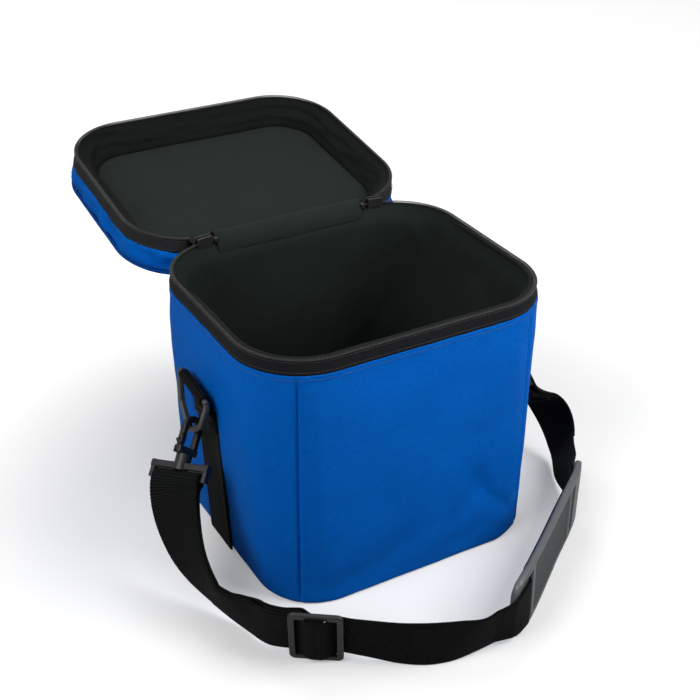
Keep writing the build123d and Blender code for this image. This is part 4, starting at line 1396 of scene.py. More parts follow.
@dataclass
class Lid:
    """Lid cover, piping, zip half and lining, made closed and laid open."""

    finishes: Finishes
    cell: float = 3.2
    thickness: float = 0.9
    wall_wave: Wave = Wave(1.8, 0.03, 0.05, 31.0, 3)
    # Place, half width and height of each swell that stays in the wall.
    swells: tuple[tuple[float, float, float], ...] = (
        (5.85, 14.0, 2.6), (6.35, 9.0, 1.8), (6.75, 12.0, 2.4), (7.5, 16.0, 2.0))
    wall_inset: float = 0.25
    top_insets: tuple[float, ...] = (0.6, 1.6, 3.0, 6.0, 10.0, 15.0, 21.0, 28.0, 36.0)
    top_puff: float = 1.2
    top_wave: Wave = Wave(0.5, 0.02, 0.02, 8.0, 3)
    pipe_radius: float = 1.4
    pipe_out: float = 1.1
    stitch_height: float = 218.8
    tape_heights: tuple[float, ...] = (204.4, 203.0, 201.0, 198.6, 196.0, 194.6, 194.0)
    tape_stitches: tuple[float, float] = (195.2, 202.2)
    tape_wave: Wave = Wave(0.2, 0.05, 0.1, 6.7)
    floor_wave: Wave = Wave(0.35, 0.012, 0.012, 40.0)
    rim_inset: float = 3.2
    floor_inset: float = 17.0
    floor: float = 212.6
    groove: float = 1.3
    lining_thickness: float = 0.5

    def crumple(self, place: float, z: float) -> float:
        """How far the soft wall stands out.

        Args:
            place: Place on the outline.
            z: Height, with the lid closed.

        Returns:
            Distance outwards.
        """
        run = OUTLINE.run(place % 8.0)
        level = ease(z, 200.0, 207.0) * (1.0 - ease(z, 216.0, 222.0))
        out = level * self.wall_wave.at(run, z)
        out += 1.6 * level * abs(ripple(run * 0.07 + z * 0.04, z * 0.02, 12.0, 2)) - 0.5 * level
        for at, wide, swell in self.swells:
            out += swell * level * bell(run - OUTLINE.run(at), wide)
        return out

    def top_point(self, rim: Vector, share: float) -> Vector:
        """A point of the top panel at a share of the way out to a point of its rim."""
        x, y = rim.x * share, rim.y * share
        return Vector((x, y, ZIP.lid_top + self.top_puff + self.top_wave.at(x, y)))

    def wall(self) -> None:
        """Blue wall of the lid."""
        places = OUTLINE.places(0.0, 8.0, self.cell)[:-1]
        heights = [203.6, 204.4, 205.6] + steps(207.0, 219.0, 2.0) + [220.4]
        rows = [[ZIP.opened(OUTLINE.at(p, z, self.wall_inset - self.crumple(p, z))[0]) for p in places]
                for z in heights]
        maker = MeshMaker("lid_cover_wall")
        maker.grid(rows, [[(OUTLINE.run(p), z) for p in places + [8.0]] for z in heights], around=True)
        piece = maker.build([self.finishes.cover], "lid", "blue_weave", ["lid_wall"], self.thickness)

    def top(self) -> None:
        """Blue top panel of the lid."""
        rows = []
        for inset in self.top_insets:
            puff = self.top_puff * ease(inset, 0.6, 30.0) - 0.5 * (1.0 - ease(inset, 0.6, 3.0))
            ring = [OUTLINE.at(p, ZIP.lid_top, inset)[0] for p in OUTLINE.places(0.0, 8.0, self.cell)[:-1]]
            for point in ring:
                point.z += puff + self.top_wave.at(point.x, point.y) * ease(inset, 2.0, 14.0)
            rows.append(ring)
        maker = MeshMaker("lid_cover_top")
        maker.grid([[ZIP.opened(q) for q in ring] for ring in rows], [flat_cloth(ring) for ring in rows],
                   around=True)
        maker.disc(rows[-1], self.top_point, ZIP.opened)
        piece = maker.build([self.finishes.cover], "lid", "blue_weave", ["lid_top_panel"], self.thickness)

    def sewn(self, place: float, z: float, inset: float) -> tuple[Vector, Vector]:
        """A point on the closed lid and the outward normal there, both laid open."""
        point, normal = OUTLINE.at(place, z, inset)
        return ZIP.opened(point), ZIP.opened(point + normal) - ZIP.opened(point)

    def piping(self) -> None:
        """Piped seam round the lid's top edge."""
        path = []
        for p in OUTLINE.places(0.0, 8.0, 2.6)[:-1]:
            out = self.pipe_out + 0.15 * ripple(OUTLINE.run(p) * 0.03, 0.0, 4.0)
            path.append(ZIP.opened(OUTLINE.at(p, ZIP.lid_seam, -out)[0]))
        maker = MeshMaker("lid_pipe")
        maker.tube(path, self.pipe_radius, 10, closed=True)
        # The piping's darker blue is painted shade.
        maker.build([self.finishes.piping], "lid", "piping", ["lid_piping"])
        sewing = Stitching("lid_stitches", 2.4, 3.2, 0.24)
        z = self.stitch_height
        sewing.row([self.sewn(p, z, 0.1 - self.crumple(p, z)) for p in OUTLINE.places(0.0, 8.0, 3.0)])
        sewing.build(self.finishes.blue_thread, "lid", "blue_weave")

    def zip_half(self) -> None:
        """Tape and coil of the lid."""
        last = OUTLINE.corner_place(ZIP.lid_start)
        first = 1.0 - last
        places = OUTLINE.places(first, last, 3.0)
        rows = []
        for z in self.tape_heights:
            insets = [ZIP.lean_at(z) + 0.1 - self.tape_wave.at(OUTLINE.run(p), z) for p in places]
            rows.append([ZIP.opened(OUTLINE.at(p, z, inset)[0]) for p, inset in zip(places, insets)])
        maker = MeshMaker("lid_tape")
        maker.grid(rows, [[(OUTLINE.run(p), z) for p in places] for z in self.tape_heights], flip=True)
        # The lid's tape is painted lighter than the body's: painted light.
        maker.build([self.finishes.lid_tape], "lid", "zip_tape", ["lid_zip_tape"], self.thickness)
        sewing = Stitching("lid_tape_stitches", 2.4, 3.1, 0.22)
        for z in self.tape_stitches:
            sewing.row([self.sewn(p, z, ZIP.lean_at(z)) for p in places])
        sewing.build(self.finishes.black_thread, "lid", "zip_tape")
        BodyZip(self.finishes).coil("lid_coil", "lid_zip_coil", ZIP.lid_coil_low, first, last, "lid", -1.0,
                                    ZIP.opened)

    def floor_point(self, rim: Vector, share: float = 1.0) -> Vector:
        """A point of the tray's floor at a share of the way out to a point of its rim."""
        x, y = rim.x * share, rim.y * share
        return Vector((x, y, self.floor + 0.4 + self.floor_wave.at(x, y)))

    def tray_point(self, place: float, share: float) -> Vector:
        """A point of the tray's loose wall.

        Args:
            place: Place on the outline.
            share: Share of the way from the zip to the floor.

        Returns:
            The point, with the lid closed.
        """
        run = OUTLINE.run(place)
        z = ZIP.lid_edge + (self.floor - ZIP.lid_edge) * share
        back = OUTLINE.at(place, z)[0]
        if back.y > 60.0 and abs(back.x) < ZIP.lid_start + 3.0:
            cut = 3.4 * (1.0 - ease(abs(back.x), ZIP.lid_start - 2.0, ZIP.lid_start + 3.0))
            z = max(z, ZIP.lid_edge + cut * (1.0 - share))
        bulge = math.sin(math.pi * share)
        inset = self.rim_inset + (self.floor_inset - self.rim_inset) * share ** 1.15
        inset += bulge * (1.2 + 1.4 * ripple(run * 0.02, share * 2.0, 17.0, 3))
        fold = abs(math.sin(math.pi * (share * 2.4 + 0.25 * ripple(run * 0.008, 0.0, 3.3) + 0.1)))
        inset += 1.5 * fold * bulge * (0.7 + 0.5 * ripple(run * 0.01, 0.0, 8.8))
        return OUTLINE.at(place, z, inset)[0]

    def lining(self) -> None:
        """Shallow black tray inside the lid."""
        places = OUTLINE.places(0.0, 8.0, self.cell)[:-1]
        shares = [0.0, 0.04, 0.08] + steps(0.12, 0.92, 0.05) + [0.96, 1.0]
        rows = [[self.tray_point(p, share) for p in places] for share in shares]
        cloth = [[(OUTLINE.run(p), ZIP.lid_edge + 24.0 * share) for p in places + [8.0]]
                 for share in shares]
        wall = len(rows)
        first, last = self.floor_inset + 0.8, self.floor_inset + 3.6
        insets = [first, self.floor_inset + 1.6, self.floor_inset + 2.4, last]
        for inset in insets + steps(self.floor_inset + 6.0, 41.0, 4.0):
            sunk = Vector((0.0, 0.0, self.groove * (1.0 - ease(inset, first, last))))
            rows.append([self.floor_point(OUTLINE.at(p, self.floor, inset)[0]) + sunk for p in places])
        rim = rows[-1]
        cloth += [flat_cloth(ring) for ring in rows[wall:]]
        rows = [[ZIP.opened(q) for q in ring] for ring in rows]
        maker = MeshMaker("lid_tray")
        # The tray's walls take the darker copy of the lining in slot 1: painted shade.
        maker.grid(rows[:wall + 1], cloth[:wall + 1], around=True, slot=1, flip=True)
        maker.grid(rows[wall:], cloth[wall:], around=True, flip=True)
        maker.disc(rim, self.floor_point, ZIP.opened, flip=True)
        piece = maker.build([self.finishes.lining, self.finishes.facing], "lid", "black_lining",
                            ["lid_lining", "lid_foam"], self.lining_thickness)

    def make(self) -> None:
        """Build the whole lid."""
        self.wall()
        self.top()
        self.piping()
        self.zip_half()
        self.lining()


@dataclass
class HingeFold:
    """Fabric that crosses from the back wall to the lid."""

    finishes: Finishes
    half_width: float = 59.0
    outer_top: float = 189.4
    inner_top: float = 193.4
    outer_wave: Wave = Wave(0.5, 0.04, 0.0, 6.0)
    inner_wave: Wave = Wave(0.5, 0.05, 0.0, 16.0)
    gore_top: float = 190.6
    gore_inset: float = 2.6
    gore_end: float = 58.0

    def arch(self, x: float, start: Vector, end: Vector, top: float, count: int) -> list[Vector]:
        """Points of a fold from the body's edge over to the lid's edge.

        Args:
            x: Place along the hinge.
            start: First point, on the body.
            end: Last point, on the lid.
            top: Height of the fold.
            count: Number of steps.

        Returns:
            The points.
        """
        found = []
        for i in range(count + 1):
            t = i / count
            flat = start.lerp(end, ease(t, 0.0, 1.0))
            rise = math.sin(math.pi * t) ** 0.7 if 0.0 < t < 1.0 else 0.0
            flat.z = start.z + (end.z - start.z) * t + (top - (start.z + end.z) / 2) * rise
            flat.x = x
            found.append(flat)
        return found

    def sheet(self, name: str, half: float, low: tuple[float, float], high: tuple[float, float],
              top: float, wave: Wave, count: int) -> MeshMaker:
        """Mesh of one sheet of the fold.

        Args:
            name: Name of the piece.
            half: Half its width.
            low: Height and inset of its edge on the body.
            high: Height and inset of its edge on the closed lid.
            top: Height of the fold.
            wave: Waves along its top.
            count: Number of steps from edge to edge.

        Returns:
            The mesh.
        """
        columns = steps(-half, half, 3.5)
        arches = []
        for x in columns:
            place = OUTLINE.back_place(x)
            start, end = OUTLINE.at(place, *low)[0], ZIP.opened(OUTLINE.at(place, *high)[0])
            arches.append(self.arch(x, start, end, top + wave.at(x, 0.0), count))
        rows = list(zip(*arches))
        maker = MeshMaker(name)
        cloth = [[(x, 180.0 + 1.8 * j) for x in columns] for j in range(len(rows))]
        maker.grid(rows, cloth, flip=name == "hinge_fold")
        return maker

    def outer(self) -> None:
        """Blue side of the fold."""
        maker = self.sheet("hinge_fold", self.half_width, (179.2, 0.3), (204.2, 0.2),
                           self.outer_top, self.outer_wave, 14)
        piece = maker.build([self.finishes.cover], None, "blue_weave", ["hinge_panel"], thickness=0.8)
        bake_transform(piece)

    def gore(self, side: Side) -> None:
        """Black gusset between the two tapes beside the fold.

        Args:
            side: Side of the case.
        """
        first, last = OUTLINE.corner_place(ZIP.lid_start + 1.5), OUTLINE.back_place(self.gore_end)
        places = OUTLINE.places(first, last, 2.0)
        arches = []
        for p in places:
            start = OUTLINE.at(p, 189.6, self.gore_inset)[0]
            end = ZIP.opened(OUTLINE.at(p, 194.2, self.gore_inset)[0])
            arches.append(self.arch(start.x, start, end, self.gore_top, 10))
            for q in arches[-1]:
                q.x *= side.value
        rows = list(zip(*arches))
        cloth = [[(OUTLINE.run(p), 190.0 + 1.2 * j) for p in places] for j in range(len(rows))]
        maker = MeshMaker(f"zip_gore_{side.label}")
        maker.grid(rows, cloth, flip=side is Side.LEFT)
        piece = maker.build([self.finishes.tape], None, "zip_tape", thickness=0.6)
        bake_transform(piece)

    def inner(self) -> None:
        """Black lining under the fold, from the body's lining to the lid's tray."""
        maker = self.sheet("hinge_lining", self.half_width + 1.0, (178.0, 6.4), (197.4, 5.4),
                           self.inner_top, self.inner_wave, 16)
        piece = maker.build([self.finishes.lining], None, "black_lining", thickness=0.5)
        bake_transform(piece)

    def make(self) -> None:
        """Build the fold and what closes its ends."""
        self.outer()
        self.inner()
        self.gore(Side.RIGHT)
        self.gore(Side.LEFT)


# ---- strap

@dataclass(frozen=True)
class StrapRoute:
    """Centre of the webbing, station by station, with the direction across its width."""

    lead: float = 10.0
    lead_stations: int = 3
    rod_drop: float = 8.0
    sub_steps: int = 12
    easing: int = 260
    end_easing: int = 200
    held: int = 7
    eased: int = 74
    left_across: Point = (0.597, -0.756, 0.267)
    right_across: Point = (-0.45, -0.85, 0.20)
    stations: tuple[tuple[Point, Point], ...] = (
        ((-150.5, -30.0, 66.0), (0.57, -0.70, 0.43)),
        ((-155.5, -45.0, 51.0), (0.45, -0.62, 0.64)),
        ((-155.0, -61.0, 37.0), (0.17, -0.57, 0.80)),
        ((-148.0, -77.5, 26.0), (-0.18, -0.46, 0.87)),
        ((-139.5, -94.5, 20.8), (-0.22, -0.30, 0.93)),
        ((-133.5, -109.0, 21.8), (-0.13, -0.20, 0.97)),
        ((-128.3, -122.5, 23.6), (-0.13, -0.21, 0.97)),
        ((-120.0, -132.7, 24.9), (-0.13, -0.21, 0.97)),
        ((-112.6, -137.8, 24.8), (-0.13, -0.21, 0.97)),
        ((-105.2, -142.9, 24.7), (-0.13, -0.21, 0.97)),
        ((-97.8, -148.0, 24.6), (-0.13, -0.21, 0.97)),
        ((-90.4, -153.1, 24.5), (-0.13, -0.21, 0.97)),
        ((-75.5, -162.0, 21.5), (-0.09, -0.17, 0.98)),
        ((-60.0, -172.5, 19.4), (-0.05, -0.10, 0.99)),
        ((-45.0, -181.5, 19.3), (-0.02, -0.08, 1.0)),
        ((-28.0, -187.5, 19.3), (-0.03, -0.14, 0.99)),
        ((-9.0, -191.0, 20.0), (-0.22, -0.26, 0.94)),
        ((12.0, -189.0, 23.8), (-0.26, -0.18, 0.95)),
        ((31.0, -180.0, 25.4), (-0.10, -0.04, 0.99)),
        ((56.0, -162.5, 25.4), (0.0, 0.02, 1.0)),
        ((90.0, -137.0, 25.4), (0.0, 0.0, 1.0)),
        ((116.0, -118.0, 25.4), (0.0, 0.0, 1.0)),
        ((130.0, -106.0, 25.2), (-0.08, -0.10, 0.99)),
        ((141.0, -88.0, 23.4), (0.02, -0.13, 0.99)),
        ((152.0, -66.0, 20.6), (0.18, -0.22, 0.95)),
        ((162.0, -50.5, 22.6), (0.16, -0.34, 0.93)),
        ((168.5, -37.5, 31.5), (0.12, -0.64, 0.76)),
        ((162.5, -28.0, 46.5), (0.20, -0.66, 0.72)),
        ((154.5, -23.5, 57.0), (0.08, -0.76, 0.62)),
    )


@dataclass(frozen=True)
class Swivel:
    """Place of a swivel base: its crossbar's middle, the hook's axis and the way across."""

    origin: Vector
    axis: Vector
    across: Vector

    @classmethod
    def of(cls, side: Side, across: Point) -> "Swivel":
        """Read a swivel's place from the record's joints.

        Args:
            side: Side of the case.
            across: Direction along the crossbar, before it is squared to the axis.

        Returns:
            The swivel.
        """
        joint = next(j for j in frame["joints"] if j["name"] == f"hook_swivel_{side.label}")
        axis = Vector(joint["axis"]).normalized()
        over = Vector(across)
        over = (over - axis * over.dot(axis)).normalized()
        return cls(Vector(joint["pos_m"]) / MM, axis, over)


class StrapLine:
    """The strap's smooth centre line with a frame at any length along it."""

    def __init__(self, route: StrapRoute, left: Swivel, right: Swivel) -> None:
        """Sample the line.

        Args:
            route: Stations between the hooks.
            left: Swivel at the start.
            right: Swivel at the end.
        """
        self.route = route
        pairs = [(Vector(p), Vector(a).normalized()) for p, a in route.stations]
        ends = []
        for swivel in (left, right):
            rod = swivel.origin - swivel.axis * route.rod_drop
            ends.append([(rod - swivel.axis * route.lead * k / 2, swivel.across)
                         for k in range(route.lead_stations)])
        pairs = ends[0] + pairs + ends[1][::-1]
        self.points: list[Vector] = []
        self.across: list[Vector] = []
        for i in range(len(pairs) - 1):
            for k in range(route.sub_steps):
                self.points.append(self.smooth([p for p, _ in pairs], i, k / route.sub_steps))
                self.across.append(self.smooth([a for _, a in pairs], i, k / route.sub_steps))
        self.points.append(pairs[-1][0])
        self.across.append(pairs[-1][1])
        self.ease_ends(self.points)
        self.ease_ends(self.across)
        self.marks = [0.0]
        for a, b in zip(self.points, self.points[1:]):
            self.marks.append(self.marks[-1] + (b - a).length)

    def ease_ends(self, values: list[Vector]) -> None:
        """Spread the turns beside the two hooks over a longer stretch.

        Args:
            values: Points of the line or directions across it, which are changed in place.
        """
        route = self.route
        starts = ((route.held, route.easing), (len(values) - route.eased, route.end_easing))
        for first, times in starts:
            last = first + route.eased - route.held
            for _ in range(times):
                values[first:last] = [(a + b * 2 + c) / 4 for a, b, c in zip(
                    values[first - 1:last - 1], values[first:last], values[first + 1:last + 1])]

    @staticmethod
    def smooth(values: Sequence[Vector], i: int, t: float) -> Vector:
        """Smooth value between two entries.

        Args:
            values: All entries.
            i: Number of the first of the two.
            t: Share of the way to the second.

        Returns:
            The value there.
        """
        a, b = values[max(i - 1, 0)], values[i]
        c, d = values[i + 1], values[min(i + 2, len(values) - 1)]
        return (b * 2 + (c - a) * t + (a * 2 - b * 5 + c * 4 - d) * t ** 2
                + (b * 3 - a - c * 3 + d) * t ** 3) * 0.5

    def length(self) -> float:
        """Length from rod to rod."""
        return self.marks[-1]

    def station(self, index: int) -> float:
        """Length at one of the route's stations."""
        return self.marks[(index + self.route.lead_stations) * self.route.sub_steps]

    def frame(self, s: float) -> tuple[Vector, Vector, Vector, Vector]:
        """Frame of the webbing at a length; past the ends it goes on straight.

        Args:
            s: Length from the left rod.

        Returns:
            Point, direction, direction across the width and outward normal.
        """
        i = 0
        while i < len(self.marks) - 2 and self.marks[i + 1] < s:
            i += 1
        t = (s - self.marks[i]) / (self.marks[i + 1] - self.marks[i])
        point = self.points[i] + (self.points[i + 1] - self.points[i]) * t
        low = max(i - 4, 0)
        high = min(i + 5, len(self.points) - 1)
        along = (self.points[high] - self.points[low]).normalized()
        across = self.across[i].lerp(self.across[i + 1], min(max(t, 0.0), 1.0))
        across = (across - along * across.dot(along)).normalized()
        return point, along, across, along.cross(across)


@dataclass
class Strap:
    """Webbing with its sewn loop, its weave through the adjuster and its free tail."""

    finishes: Finishes
    line: StrapLine
    width: float = 38.0
    thick: float = 1.8
    gap: float = 0.3
    glide_station: int = 9
    glide_length: float = 35.0
    glide_end_bar: float = 4.0
    glide_middle_bar: float = 5.0
    glide_thick: float = 3.2
    tail: float = 14.0
    pad_station: int = 17
    pad_length: float = 152.0
    pad_thick: float = 5.0
    pad_fit: float = 0.5
    near_slit: float = 21.0
    slit: float = 9.0
    loop_tail: float = 28.0
    rod_wrap: float = 3.5
    rod_swell: float = 1.0
    glide_wrap: float = 2.3
    glide_thin: float = 0.32
    glide_widen: float = 0.095
    scallop: float = 0.009

    def layer(self) -> float:
        """Distance between two layers that lie on each other."""
        return self.thick + self.gap

    def turn(self, s: float, centre: float, radius: float, first: float,
             last: float) -> list[tuple[float, float]]:
        """Waypoints round a bar at length s, from a first to a last angle in degrees."""
        angles = [math.radians(first + (last - first) * k / 12) for k in range(13)]
        return [(s + radius * math.cos(a), centre + radius * math.sin(a)) for a in angles]

    def waypoints(self) -> list[tuple[float, float]]:
        """Way of the webbing from the sewn loop to the free tail.

        Returns:
            Length and outward place of each waypoint.
        """
        end = self.line.length()
        rod = self.rod_wrap
        g = self.line.station(self.glide_station)
        c = self.glide_thick / 2 + self.gap + self.thick / 2
        over = c + self.glide_wrap
        top = over + self.thick * (1.0 - self.glide_thin) + 0.15
        half_bar = self.glide_middle_bar / 2
        edge = self.glide_length / 2 - self.glide_end_bar
        front = self.pad_thick / 2 + self.pad_fit + self.thick / 2
        pad_start = self.line.station(self.pad_station)
        near = pad_start + self.near_slit - self.slit / 2
        pad_end = pad_start + self.pad_length
        lay = self.layer()
        found = [(end - self.loop_tail, -lay), (end - 10, -lay - 0.4)]
        found += self.turn(end, 0.0, rod, -90, 90)
        found += [(end - 10, 1.9), (end - self.loop_tail, 0.0), (pad_end + 14, 0.0),
                  (pad_end + 2, -front), (near + self.slit - 1, -front), (near + 1, front),
                  (pad_start - 1, front), (pad_start - 13, 0.0)]
        found += [(g + edge + 1.5, 0.0), (g + edge - 0.7, 0.0), (g + half_bar + 2.3, top),
                  (g - half_bar - 2.0, top), (g - edge + 0.5, 0.0), (g - edge - 2, 0.0)]
        found += [(40.0, 0.0), (12.0, 1.6)] + self.turn(0.0, 0.0, rod, 90, 270)
        found += [(12.0, -1.8), (40.0, -lay - 0.1), (g - 46, -lay - 0.1), (g - 36, -2 * lay),
                  (g - edge + 4.5, -2 * lay), (g - half_bar, 0.0)]
        found += self.turn(g + half_bar, c, self.glide_wrap, -90, 90)
        found += [(g - half_bar - 0.5, over), (g - edge + 3, -lay),
                  (g - self.glide_length / 2 - self.tail, -lay)]
        return found

    def size_at(self, s: float) -> tuple[float, float]:
        """Factors for width and thickness at length s.

        Args:
            s: Length from the left rod.

        Returns:
            Width factor, which fills the adjuster's slots, and thickness factor, which fills
            the hooks' loops.
        """
        glide = 1.0 - ease(abs(s - self.line.station(self.glide_station)), 13.0, 20.0)
        ends = 1.0 - ease(min(abs(s), abs(s - self.line.length())), 4.0, 11.0)
        return 1.0 + self.glide_widen * glide, 1.0 - self.glide_thin * glide + self.rod_swell * ends

    def make(self) -> None:
        """Build the webbing as one length."""
        section = webbing_section(self.width, self.thick, math.sqrt(0.5))
        spots = []
        for s, n in eased_path(self.waypoints(), 0.8):
            point, _, across, outward = self.line.frame(s)
            spots.append((point + outward * n, across, *self.size_at(s)))
        rows, cloth = [], []
        run = 0.0
        for i, (centre, across, broad, deep) in enumerate(spots):
            before = spots[max(i - 1, 0)][0]
            after = spots[min(i + 1, len(spots) - 1)][0]
            along = (after - before).normalized()
            over = (across - along * across.dot(along)).normalized()
            out = along.cross(over)
            if i:
                run += (centre - spots[i - 1][0]).length
            wide = broad + (self.scallop if i % 2 else -self.scallop)
            rows.append([centre + over * x * wide + out * y * deep for x, y in section])
            cloth.append([(x, run) for x, _ in section] + [(section[0][0], run)])
        maker = MeshMaker("strap_band")
        maker.grid(rows, cloth, around=True)
        maker.caps(rows, cloth)
        maker.build([self.finishes.webbing], "case", "webbing", ["strap_webbing"])
        log.info("strap webbing: %.0f mm in all", run)
        self.sewing()

    def sewing(self) -> None:
        """Box stitch that closes the loop at the right hook."""
        end = self.line.length()
        sewing = Stitching("loop_stitches", 2.6, 3.2, 0.3)
        near, far, half = end - 13.0, end - self.loop_tail + 2.5, self.width / 2 - 3.5
        for sign in (1.0, -1.0):
            lift = self.thick / 2 if sign > 0 else -self.layer() - self.thick / 2 - 0.1
            for (sa, wa), (sb, wb) in (((near, -half), (near, half)), ((far, -half), (far, half)),
                                       ((near, -half), (far, -half)), ((near, half), (far, half)),
                                       ((near, -half), (far, half)), ((near, half), (far, -half))):
                spots = []
                for t in steps(0.0, 1.0, 0.125):
                    point, _, across, outward = self.line.frame(sa + (sb - sa) * t)
                    place = point + across * (wa + (wb - wa) * t) + outward * lift
                    spots.append((place, outward * sign))
                sewing.row(spots)
        sewing.build(self.finishes.black_thread, "case", "webbing")


@dataclass
class ShoulderPad:
    """Rubber pad with slits, smooth rails and a grid of small pyramids."""

    finishes: Finishes
    strap: Strap
    width: float = 50.0
    far_slit: float = 30.0
    slit_width: float = 40.6
    recess: float = 0.8
    rail: float = 4.0
    edge_radius: float = 1.6
    end_draw: float = 0.48
    end_rows: tuple[float, ...] = (0.0, 0.6, 1.6, 3.2, 5.5)

    def __post_init__(self) -> None:
        """Work out where the slits and the grip lie along the pad."""
        self.long = self.strap.pad_length
        self.half = self.width / 2
        self.half_slit = self.strap.slit / 2
        self.slits = (self.strap.near_slit, self.long - self.far_slit)
        edge = self.half_slit + self.rail
        self.grip = (self.slits[0] + edge, self.slits[1] - edge)

    def lengths(self) -> list[float]:
        """Rows of the pad's grid.

        Returns:
            Distances from the pad's end, closer at its ends, slits and grip.
        """
        marks = {at for d in self.end_rows for at in (d, self.long - d)}
        for s in self.slits:
            for d in (self.half_slit + 1.0, self.half_slit + 0.3, self.half_slit, 1.5):
                marks |= {s - d, s + d}
        marks |= {self.grip[0], self.grip[0] + 0.5, self.grip[1] - 0.5, self.grip[1]}
        order = sorted(marks)
        found = [order[0]]
        for a, b in zip(order, order[1:]):
            found += steps(a, b, 3.0)[1:]
        return found

    def widths(self) -> list[float]:
        """Columns of the pad's grid.

        Returns:
            Distances from the pad's middle line, to both sides.
        """
        hole, face = self.slit_width / 2, self.half - self.rail
        found = sorted({0.0, 5.0, 10.0, 15.0, hole - 0.5, hole, face, face + 0.5, self.half - 1.4,
                        self.half - 0.5, self.half})
        return [-w for w in reversed(found[1:])] + found

    def narrow(self, s: float) -> float:
        """Share of the full width at a distance from the pad's end."""
        return 1.0 - self.end_draw * (1.0 - ease(min(s, self.long - s), -2.2, 5.5))

    def in_slit(self, s: float, w: float) -> bool:
        """Whether a place lies in a slit."""
        return abs(w) < self.slit_width / 2 and any(abs(s - at) < self.half_slit for at in self.slits)

    def gripped(self, s: float, w: float) -> bool:
        """Whether a place has the textured rubber."""
        return self.grip[0] + 0.5 < s < self.grip[1] - 0.5 and abs(w) < self.half - self.rail

    def sunk_at(self, s: float, w: float) -> bool:
        """Whether a place is sunk below the rails."""
        return self.grip[0] + 0.4 < s < self.grip[1] - 0.4 and abs(w) < self.half - self.rail + 0.4

    def height(self, s: float, w: float, side: int) -> float:
        """Half thickness of the pad, rounded at the edges and sunk in the grip.

        Args:
            s: Distance from the pad's end.
            w: Distance from the pad's middle line.
            side: 1 for the outer face, -1 for the inner one.

        Returns:
            Distance from the pad's middle layer.
        """
        edge = min(self.half - abs(w), min(s, self.long - s) * 1.2)
        share = 0.35 + 0.65 * math.sqrt(min(1.0, max(edge, 0.0) / self.edge_radius))
        sunk = self.recess if side > 0 and self.sunk_at(s, w) else 0.0
        return self.strap.pad_thick / 2 * share - sunk

    def make(self) -> None:
        """Build the pad as one piece round its two slits."""
        along, widths = self.lengths(), self.widths()
        start = self.strap.line.station(self.strap.pad_station)
        maker = MeshMaker("pad_body")
        index: dict[tuple[int, int, int], int] = {}
        for i, s in enumerate(along):
            point, _, across, outward = self.strap.line.frame(start + s)
            for j, w in enumerate(widths):
                for side in (1, -1):
                    index[i, j, side] = len(maker.points)
                    out = outward * side * self.height(s, w, side)
                    maker.points.append(point + across * w * self.narrow(s) + out)
        flat = {number: (widths[j], along[i]) for (i, j, _), number in index.items()}
        middles = {(i, j): ((along[i] + along[i + 1]) / 2, (widths[j] + widths[j + 1]) / 2)
                   for i in range(len(along) - 1) for j in range(len(widths) - 1)}
        solid = {cell for cell, (s, w) in middles.items() if not self.in_slit(s, w)}
        for i, j in sorted(solid):
            # Faces off the grip, and the side faces below, take the lighter rubber: painted highlight.
            slot = 0 if self.gripped(*middles[i, j]) else 1
            a, b, c, d = (i, j), (i, j + 1), (i + 1, j + 1), (i + 1, j)
            faces = [([(*q, 1) for q in (a, b, c, d)], slot), ([(*q, -1) for q in (a, d, c, b)], slot)]
            for beside, p, q in (((i - 1, j), a, b), ((i + 1, j), c, d), ((i, j - 1), d, a),
                                 ((i, j + 1), b, c)):
                if beside not in solid:
                    faces.append(([(*p, -1), (*q, -1), (*q, 1), (*p, 1)], 1))
            for corners, material in faces:
                maker.face(tuple(index[corner] for corner in corners), flat, False, material)
        piece = maker.build([self.finishes.grip, self.finishes.rail], "case", "pad_rubber",
                            ["shoulder_pad"])


# ---- anchors and fittings

